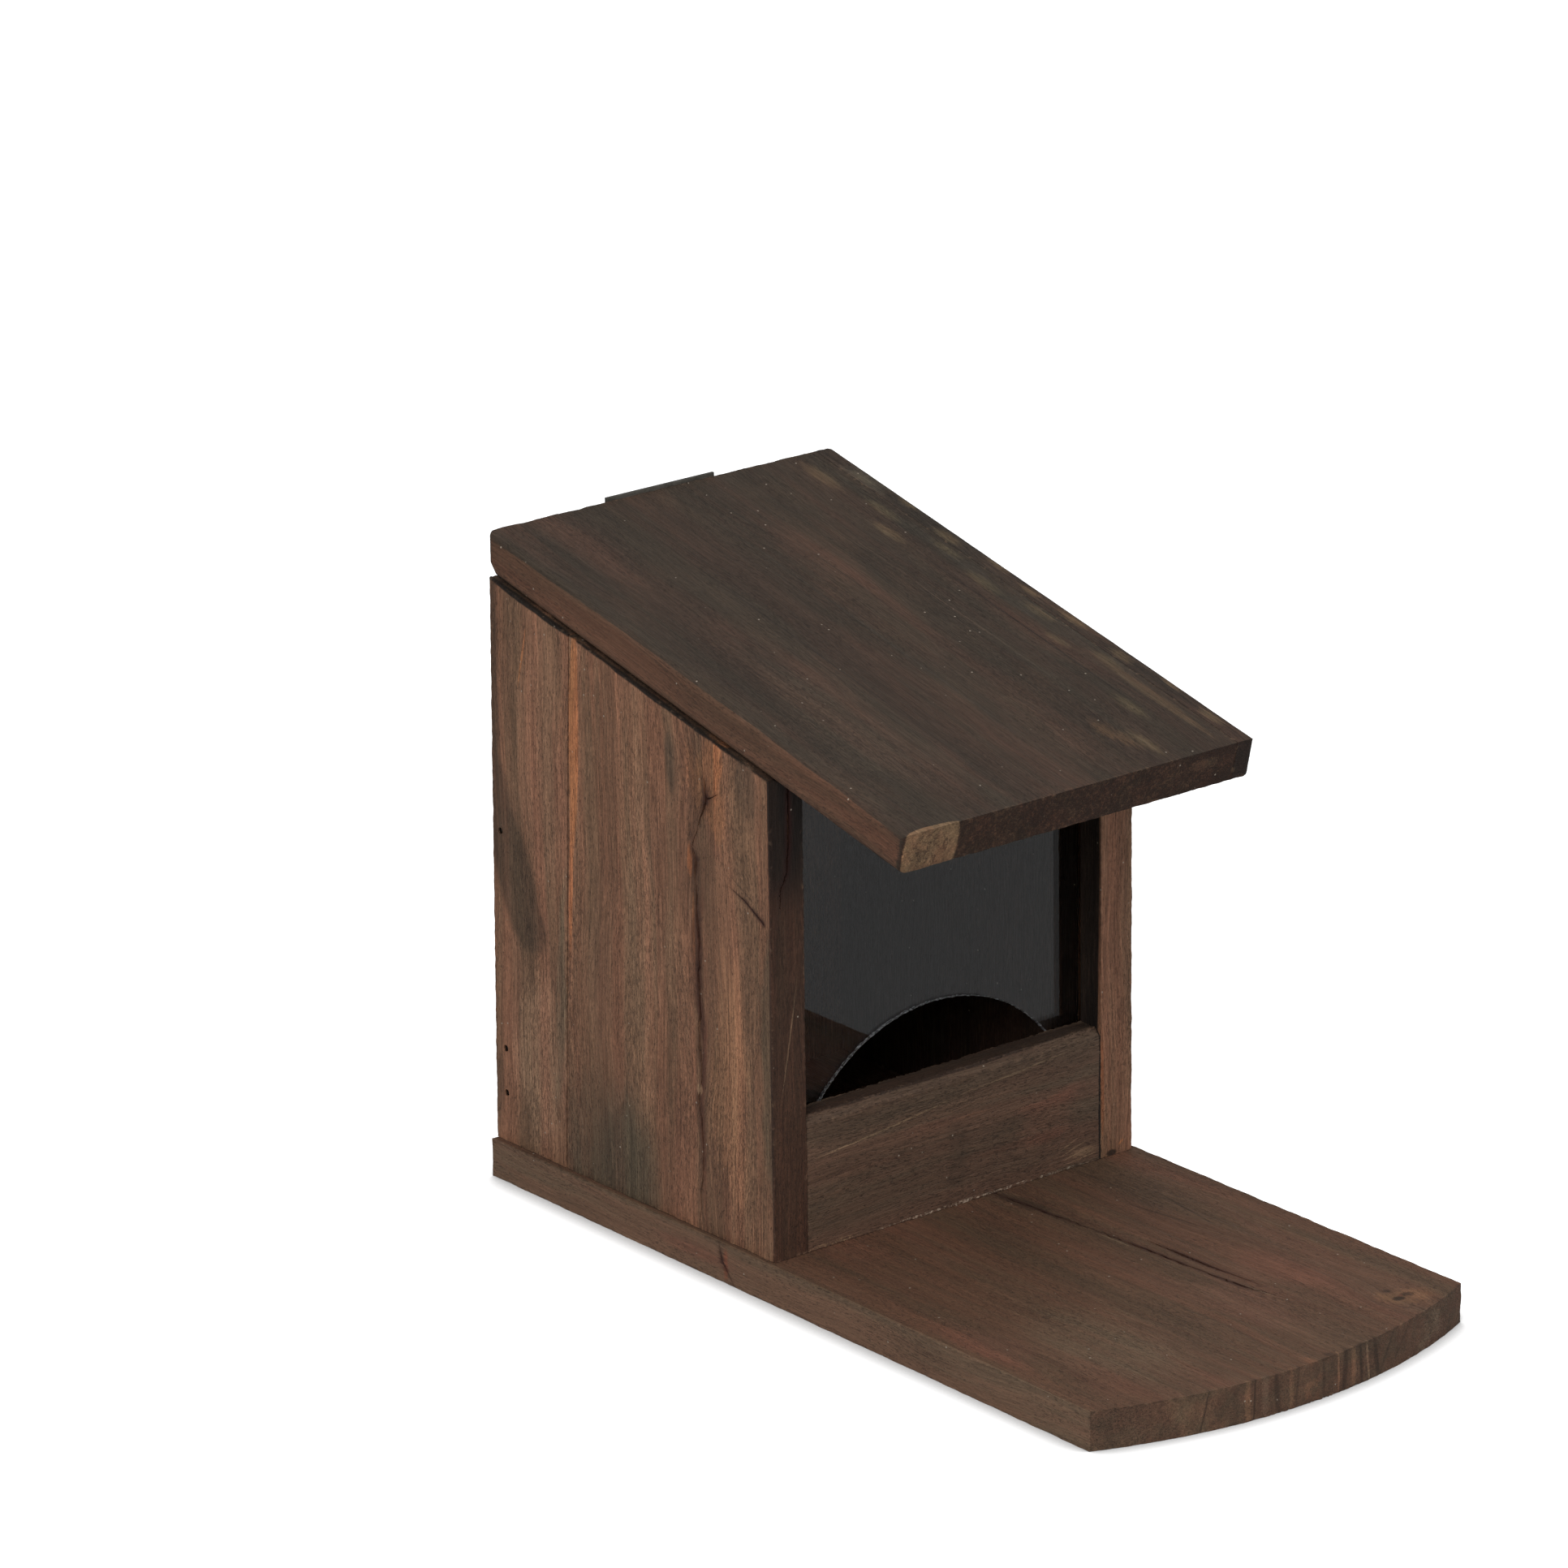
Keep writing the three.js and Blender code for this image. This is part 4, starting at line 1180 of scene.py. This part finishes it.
class FEEDER_OT_lid(bpy.types.Operator):
    """Models the lid's wide board and the strip glued to its right edge"""
    bl_idname = "feeder.lid"
    bl_label = "Lid"

    def execute(self, context):
        timber = context.scene.feeder_timber
        self.model_board(timber.lid_tone)
        self.model_strip(timber.strip_tone)
        return {"FINISHED"}

    def model_board(self, tone):
        node = "lid_main_board"
        mark = partial(spot, node, turn=ROOF_LEAN)
        line = partial(hairline, node, turn=ROOF_LEAN)
        piece = saw_board("lid_main_timber", node, seed=67, stretch=(1, 6, 1), glued=RIGHT, rounded=LEFT)
        stain = Stain(
            tone=tone, turn=GRAIN_ALONG_ROOF, along=ALONG_ROOF, seed=67.0, pith=(30, -30, 0), ring_gap=2.6,
            rings=0.08, contrast=0.24, blotch=0.3, warmth=0.15, end_tone=(0.185, 0.118, 0.08),
            end_rings=0.2,
            patches=(
                mark((0.975, 0.5, 0.5), (5, 100, 16), (0.22, 0.19, 0.16), 0.65, core=0.5),
                mark((0.5, 0.007, 0.105), (60, 1.9, 7), (0.36, 0.26, 0.195), 0.4, core=0.8, speckled=True),
                mark((0.90, 0.007, 0.14), (9, 1.9, 3), (0.33, 0.25, 0.19), 0.6, core=0),
                mark((0.20, 0.30, 0.40), (16, 50, 16), (0.30, 0.245, 0.20), 0.5),
                mark((0.76, 0.10, 0.20), (4, 16, 6), (0.36, 0.28, 0.20), 0.6),
                mark((0.085, 0.007, 0.105), (10, 1.9, 16), (0.49, 0.38, 0.285), 0.95, core=0.8),
                mark((0.085, 0.007, 0.105), (9, 1.9, 7), (0.27, 0.19, 0.14), 0.75, core=0.5, speckled=True),
                mark((0.0, 0.5, 0.5), (1.2, 110, 30), (0.36, 0.25, 0.19), 0.85, core=0.7),
                line((0.0, 0.5, 0.611), (0.8, 90, 0.8), PALE, 0.3),
                line((0.665, 0.5, 0.58), (0.35, 70, 16), DARK, 0.5),
                line((0.55, 0.5, 0.58), (0.6, 80, 16), (0.24, 0.20, 0.175), 0.5),
                line((0.80, 0.5, 0.58), (0.5, 90, 16), (0.30, 0.25, 0.21), 0.4),
                line((0.90, 0.4, 0.50), (0.5, 70, 16), (0.12, 0.095, 0.08), 0.6),
                line((0.36, 0.5, 0.58), (0.4, 90, 16), (0.13, 0.10, 0.085), 0.5),
                line((0.965, 0.17, 0.347), (2.6, 32, 1.9), (0.40, 0.31, 0.23), 0.45),
                *[mark((across, along, top_share(node, along)), (reach, 3.4 * reach, 1.9), OLIVE, 0.5,
                       core=0) for across, along, reach in LID_MOTTLE_SHARES],
            ))
        finish_board(piece, node, stain, "lid_wood", "lid")

    def model_strip(self, tone):
        node = "lid_edge_strip"
        mark = partial(spot, node, turn=ROOF_LEAN)
        piece = saw_board(
            "lid_edge_strip_timber", node, seed=71, stretch=(1, 6, 1), glued=LEFT, rounded=RIGHT)
        stain = Stain(
            tone=tone, turn=GRAIN_ALONG_ROOF, along=ALONG_ROOF, seed=71.0, pith=(30, -30, 0),
            ring_gap=2.6, rings=0.15, contrast=0.34, blotch=0.4, warmth=0.1,
            end_tone=(0.16, 0.115, 0.09), end_rings=0.4,
            patches=(
                *[mark((across, along, top_share(node, along)), (reach, 3 * reach, 1.9), OLIVE, 0.6,
                       core=0) for across, along, reach in STRIP_MOTTLE_SHARES],
                mark((0.5, 0.90, 0.90), (8, 16, 16), (0.30, 0.27, 0.235), 0.6),
            ))
        finish_board(piece, node, stain, "lid_wood", "lid")


class FEEDER_OT_pane(bpy.types.Operator):
    """Models the clear pane with its arch and its rough sawn edges"""
    bl_idname = "feeder.pane"
    bl_label = "Pane"

    def execute(self, context):
        node = "window_pane"
        settings = context.scene.feeder_pane
        piece = saw_outline(copy_of_node("clear_pane", node), settings.edge_step, settings.edge_depth)
        dress(piece, clear_plastic("pane_plastic"), "pane", "clear_pane", node)
        piece.data.materials.append(frosted_plastic("pane_sawn_edge", settings.frost_tone))
        for face in piece.data.polygons:
            if abs(face.normal.y) < 0.5:
                face.material_index = 1
        return {"FINISHED"}


def saw_outline(piece, step, depth):
    """Makes a flat sheet's outline ragged, as a saw leaves it, and keeps both of its faces flat."""
    remesh(piece, step)
    sheet = corners_of(piece)[:, 1]
    for face in (sheet.min(), sheet.max()):
        sheet[np.abs(sheet - face) < 0.3 * step] = face
    rim = np.zeros(len(sheet))
    for polygon in piece.data.polygons:
        if abs(polygon.normal.y) < 0.5:
            rim[list(polygon.vertices)] = 1
    set_group(piece, "rim", rim)
    press_in(piece, depth, WEAR_SIZE, seed=83, group="rim", contrast=2)
    places = corners_of(piece)
    places[:, 1] = sheet
    piece.data.vertices.foreach_set("co", places.ravel())
    piece.vertex_groups.clear()
    pick(piece)
    bpy.ops.object.mode_set(mode="EDIT")
    bpy.ops.mesh.select_all(action="SELECT")
    bpy.ops.mesh.dissolve_limited(angle_limit=math.radians(0.5))
    bpy.ops.object.mode_set(mode="OBJECT")
    return piece


def copy_of_node(name, node):
    """A copy of a CAD solid with its loose triangles joined."""
    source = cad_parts[node]
    piece = bpy.data.objects.new(name, source.data.copy())
    piece.data.name = name
    bpy.context.scene.collection.objects.link(piece)
    pick(piece)
    bpy.ops.object.mode_set(mode="EDIT")
    bpy.ops.mesh.select_all(action="SELECT")
    bpy.ops.mesh.remove_doubles(threshold=0.001 * MM)
    bpy.ops.object.mode_set(mode="OBJECT")
    return piece


def clear_plastic(name):
    """Clear sheet with a faint haze."""
    material, graph = new_material(name)
    place = graph.add("TexCoord", output=3)
    haze = graph.noise(place, (90, 90, 60), detail=4, roughness=0.6)
    close_material(graph, {
        "Base Color": (1, 1, 1, 1), "Roughness": graph.remap(haze, 0.45, 0.75, 0.0, 0.01),
        "Transmission Weight": 1.0, "IOR": 1.49})
    return material


def frosted_plastic(name, tone):
    """A sawn edge that sparkles."""
    material, graph = new_material(name)
    place = graph.add("TexCoord", output=3)
    sparkle = graph.noise(place, (1400, 1400, 1400), detail=2, roughness=0.7)
    colour = graph.mix(graph.remap(sparkle, 0.44, 0.62), linear(tone, 0.12), linear(tone))
    bump = graph.add("Bump", {"Strength": 1.0, "Distance": 0.3 * MM, "Height": sparkle})
    close_material(graph, {
        "Base Color": colour, "Roughness": 0.35, "Normal": bump, "Specular IOR Level": 0.6})
    return material


def worn_steel(name, tone):
    """Plated steel with a brushed, slightly tarnished face."""
    material, graph = new_material(name)
    place = graph.add("TexCoord", output=3)
    brushed = graph.noise(place, (300, 3000, 3000), detail=3, roughness=0.6)
    tarnish = graph.noise(place, (260, 260, 260), detail=4, roughness=0.6)
    colour = graph.mix(graph.remap(tarnish, 0.42, 0.68, 0, 0.6), linear(tone), linear(tone, 0.35))
    rough = graph.remap(brushed, 0.3, 0.7, 0.28, 0.5)
    bump = graph.add("Bump", {"Strength": 0.4, "Distance": 0.05 * MM, "Height": brushed})
    close_material(graph, {
        "Base Color": colour, "Roughness": rough, "Metallic": 1.0, "Normal": bump})
    return material


class FEEDER_OT_hinge(bpy.types.Operator):
    """Models the hinge's two leaves and its pin; its screws come with the fasteners"""
    bl_idname = "feeder.hinge"
    bl_label = "Hinge"

    def execute(self, context):
        metal = context.scene.feeder_metal
        steel = worn_steel("hinge_plating", metal.leaf_tone)
        for node, body in (("hinge_back_leaf", "house"), ("hinge_lid_leaf", "lid"), ("hinge_pin", "house")):
            piece = copy_of_node(node + "_plated", node)
            finish_with(piece, "BEVEL", width=metal.edge_bevel, segments=2, limit_method="ANGLE",
                        angle_limit=math.radians(35))
            dress(smooth(piece), steel, body, "hinge_steel", node)
        return {"FINISHED"}


def cross_recess(node, outward, depth=0.5 * MM, length_share=0.6, width_share=0.15):
    """Two crossed blocks that leave the recess in a screw's head."""
    low, high = (Vector(corner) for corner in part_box(node))
    axis = max(range(3), key=lambda i: abs(outward[i]))
    across = [i for i in range(3) if i != axis]
    radius = (high[across[0]] - low[across[0]]) / 2
    face = (low + high) / 2
    face[axis] = high[axis] if outward[axis] > 0 else low[axis]
    cutters = []
    for long, short in (across, across[::-1]):
        reach = Vector((depth, depth, depth))
        reach[long] = radius * length_share
        reach[short] = radius * width_share
        cutters.append(add_block("recess", face - reach, face + reach))
    return cutters


class FEEDER_OT_fasteners(bpy.types.Operator):
    """Models the screws, with a cross recess in each head, and the brads"""
    bl_idname = "feeder.fasteners"
    bl_label = "Fasteners"

    def execute(self, context):
        metal = context.scene.feeder_metal
        screw_steel = worn_steel("screw_plating", metal.screw_tone)
        brad_steel = worn_steel("brad_steel", metal.brad_tone)
        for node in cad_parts:
            if "brad" in node:
                piece = copy_of_node(node + "_plated", node)
                dress(smooth(piece), brad_steel, "house", "screw_steel", node)
            if "screw" in node:
                piece = copy_of_node(node + "_plated", node)
                cut_away(piece, cross_recess(node, -UP if node.startswith("base") else REAR))
                body = "lid" if "screw_lid" in node else "house"
                dress(smooth(piece), screw_steel, body, "screw_steel", node)
        return {"FINISHED"}


class FEEDER_OT_stage(bpy.types.Operator):
    """Sets up the floor, the soft light and the camera"""
    bl_idname = "feeder.stage"
    bl_label = "Stage"

    def execute(self, context):
        settings = context.scene.feeder_stage
        add_floor(settings.floor_size)
        light_world(context.scene, settings.room_level)
        add_lamp("key_lamp", (-1.5, -1.1, 1.5), settings.lamp_size, settings.key_power)
        add_lamp("fill_lamp", (1.3, -1.6, 1.2), settings.lamp_size, settings.fill_power)
        add_lamp("top_lamp", (0, 0.1, 2.2), settings.lamp_size, settings.top_power)
        add_camera(settings)
        context.scene.view_settings.view_transform = "Standard"
        return {"FINISHED"}


def seen_directly(graph):
    """1 for what the camera sees, also through the pane, and 0 for reflections and for lighting."""
    path = graph.tree.nodes.new("ShaderNodeLightPath").outputs
    seen = graph.math("MAXIMUM", path["Is Camera Ray"], path["Is Transmission Ray"])
    bounced = graph.math("ADD", path["Diffuse Depth"], path["Glossy Depth"])
    return graph.math("MULTIPLY", seen, graph.math("LESS_THAN", bounced, 0.5))


def add_floor(size, bounce=0.62, mirrored=0.32, shadow_reach=12 * MM):
    """A white floor: its glow fades near the house by ambient occlusion, which paints a soft contact shadow,
    and its lit paper keeps the cast shadow.
    """
    bpy.ops.object.select_all(action="DESELECT")
    bpy.ops.mesh.primitive_plane_add(size=size)
    floor = named("floor")
    material, graph = new_material("floor_paper")
    path = graph.tree.nodes.new("ShaderNodeLightPath").outputs
    grey = graph.mix(path["Is Glossy Ray"], (bounce,) * 3 + (1,), (mirrored,) * 3 + (1,))
    paper = graph.add("BsdfDiffuse", {"Color": grey})
    opened = graph.add("AmbientOcclusion", {"Distance": shadow_reach}, output=1, samples=12)
    # painted contact shadow: the glow fades where the house is near
    strength = graph.math("MULTIPLY", seen_directly(graph), graph.remap(opened, 0.42, 0.97, 0, 0.85))
    glow = graph.add("Emission", {"Color": (1, 1, 1, 1), "Strength": strength})
    both = graph.add("AddShader", {0: paper, 1: glow})
    graph.add("OutputMaterial", {"Surface": both}, output=slice(0, 0))
    floor.data.materials.append(material)


def light_world(scene, level):
    """A white background, which lights the object less than it shines in the picture."""
    world = bpy.data.worlds.new("white_room")
    world.use_nodes = True
    world.node_tree.nodes.clear()
    graph = Graph(world.node_tree)
    path = graph.tree.nodes.new("ShaderNodeLightPath").outputs
    strength = graph.remap(path["Is Transmission Ray"], 0, 1, level, 0)
    strength = graph.mix_value(seen_directly(graph), strength, 1.0)
    sky = graph.add("Background", {"Color": (1, 1, 1, 1), "Strength": strength})
    graph.add("OutputWorld", {"Surface": sky}, output=slice(0, 0))
    scene.world = world


def add_lamp(name, place, size, power, aim=Vector((0, 0, 0.07))):
    """A soft round lamp that looks at the middle of the house."""
    light = bpy.data.lights.new(name, "AREA")
    light.shape = "DISK"
    light.size = size
    light.energy = power
    lamp = bpy.data.objects.new(name, light)
    lamp.location = place
    lamp.rotation_euler = (aim - Vector(place)).to_track_quat("-Z", "Y").to_euler()
    lamp.visible_transmission = False
    bpy.context.scene.collection.objects.link(lamp)


def add_camera(settings):
    """The photograph's own viewpoint."""
    camera = bpy.data.cameras.new("camera")
    camera.sensor_width = 36
    camera.sensor_fit = "HORIZONTAL"
    camera.lens = settings.lens
    camera.clip_start = 0.05
    viewer = bpy.data.objects.new("camera", camera)
    flat = math.cos(settings.elevation)
    back = Vector((math.sin(settings.azimuth) * flat, -math.cos(settings.azimuth) * flat,
                   math.sin(settings.elevation)))
    viewer.location = Vector(settings.aim) + back * settings.distance
    facing = (-back).to_track_quat("-Z", "Y")
    viewer.rotation_euler = (facing @ Euler((0, 0, settings.roll)).to_quaternion()).to_euler()
    bpy.context.scene.collection.objects.link(viewer)
    bpy.context.scene.camera = viewer


class FEEDER_PT_pieces(bpy.types.Panel):
    """Lists the pieces and their sizes in the sidebar"""
    bl_idname = "FEEDER_PT_pieces"
    bl_label = "Squirrel feeder"
    bl_space_type = "VIEW_3D"
    bl_region_type = "UI"
    bl_category = "Feeder"

    def draw(self, context):
        for settings in SETTINGS:
            box = self.layout.box()
            for name in settings.__annotations__:
                box.prop(getattr(context.scene, SETTINGS[settings]), name)
        for operator in OPERATORS:
            self.layout.operator(operator.bl_idname)


SETTINGS = {
    FeederTimber: "feeder_timber",
    FeederPane: "feeder_pane",
    FeederMetal: "feeder_metal",
    FeederStage: "feeder_stage",
}
OPERATORS = (
    FEEDER_OT_stage, FEEDER_OT_base_board, FEEDER_OT_left_side, FEEDER_OT_right_side, FEEDER_OT_back_board,
    FEEDER_OT_front_sill, FEEDER_OT_lid, FEEDER_OT_pane, FEEDER_OT_hinge, FEEDER_OT_fasteners)


def register():
    for kind in (*SETTINGS, *OPERATORS, FEEDER_PT_pieces):
        bpy.utils.register_class(kind)
    for kind, name in SETTINGS.items():
        setattr(bpy.types.Scene, name, bpy.props.PointerProperty(type=kind))


def unregister():
    for name in SETTINGS.values():
        delattr(bpy.types.Scene, name)
    for kind in reversed((*SETTINGS, *OPERATORS, FEEDER_PT_pieces)):
        bpy.utils.unregister_class(kind)


def main():
    register()
    build_wood_grain()
    build_stain_patch()
    for operator in OPERATORS:
        call = getattr(bpy.ops.feeder, operator.bl_idname.split(".")[1])
        call()


if __name__ == "__main__":
    main()
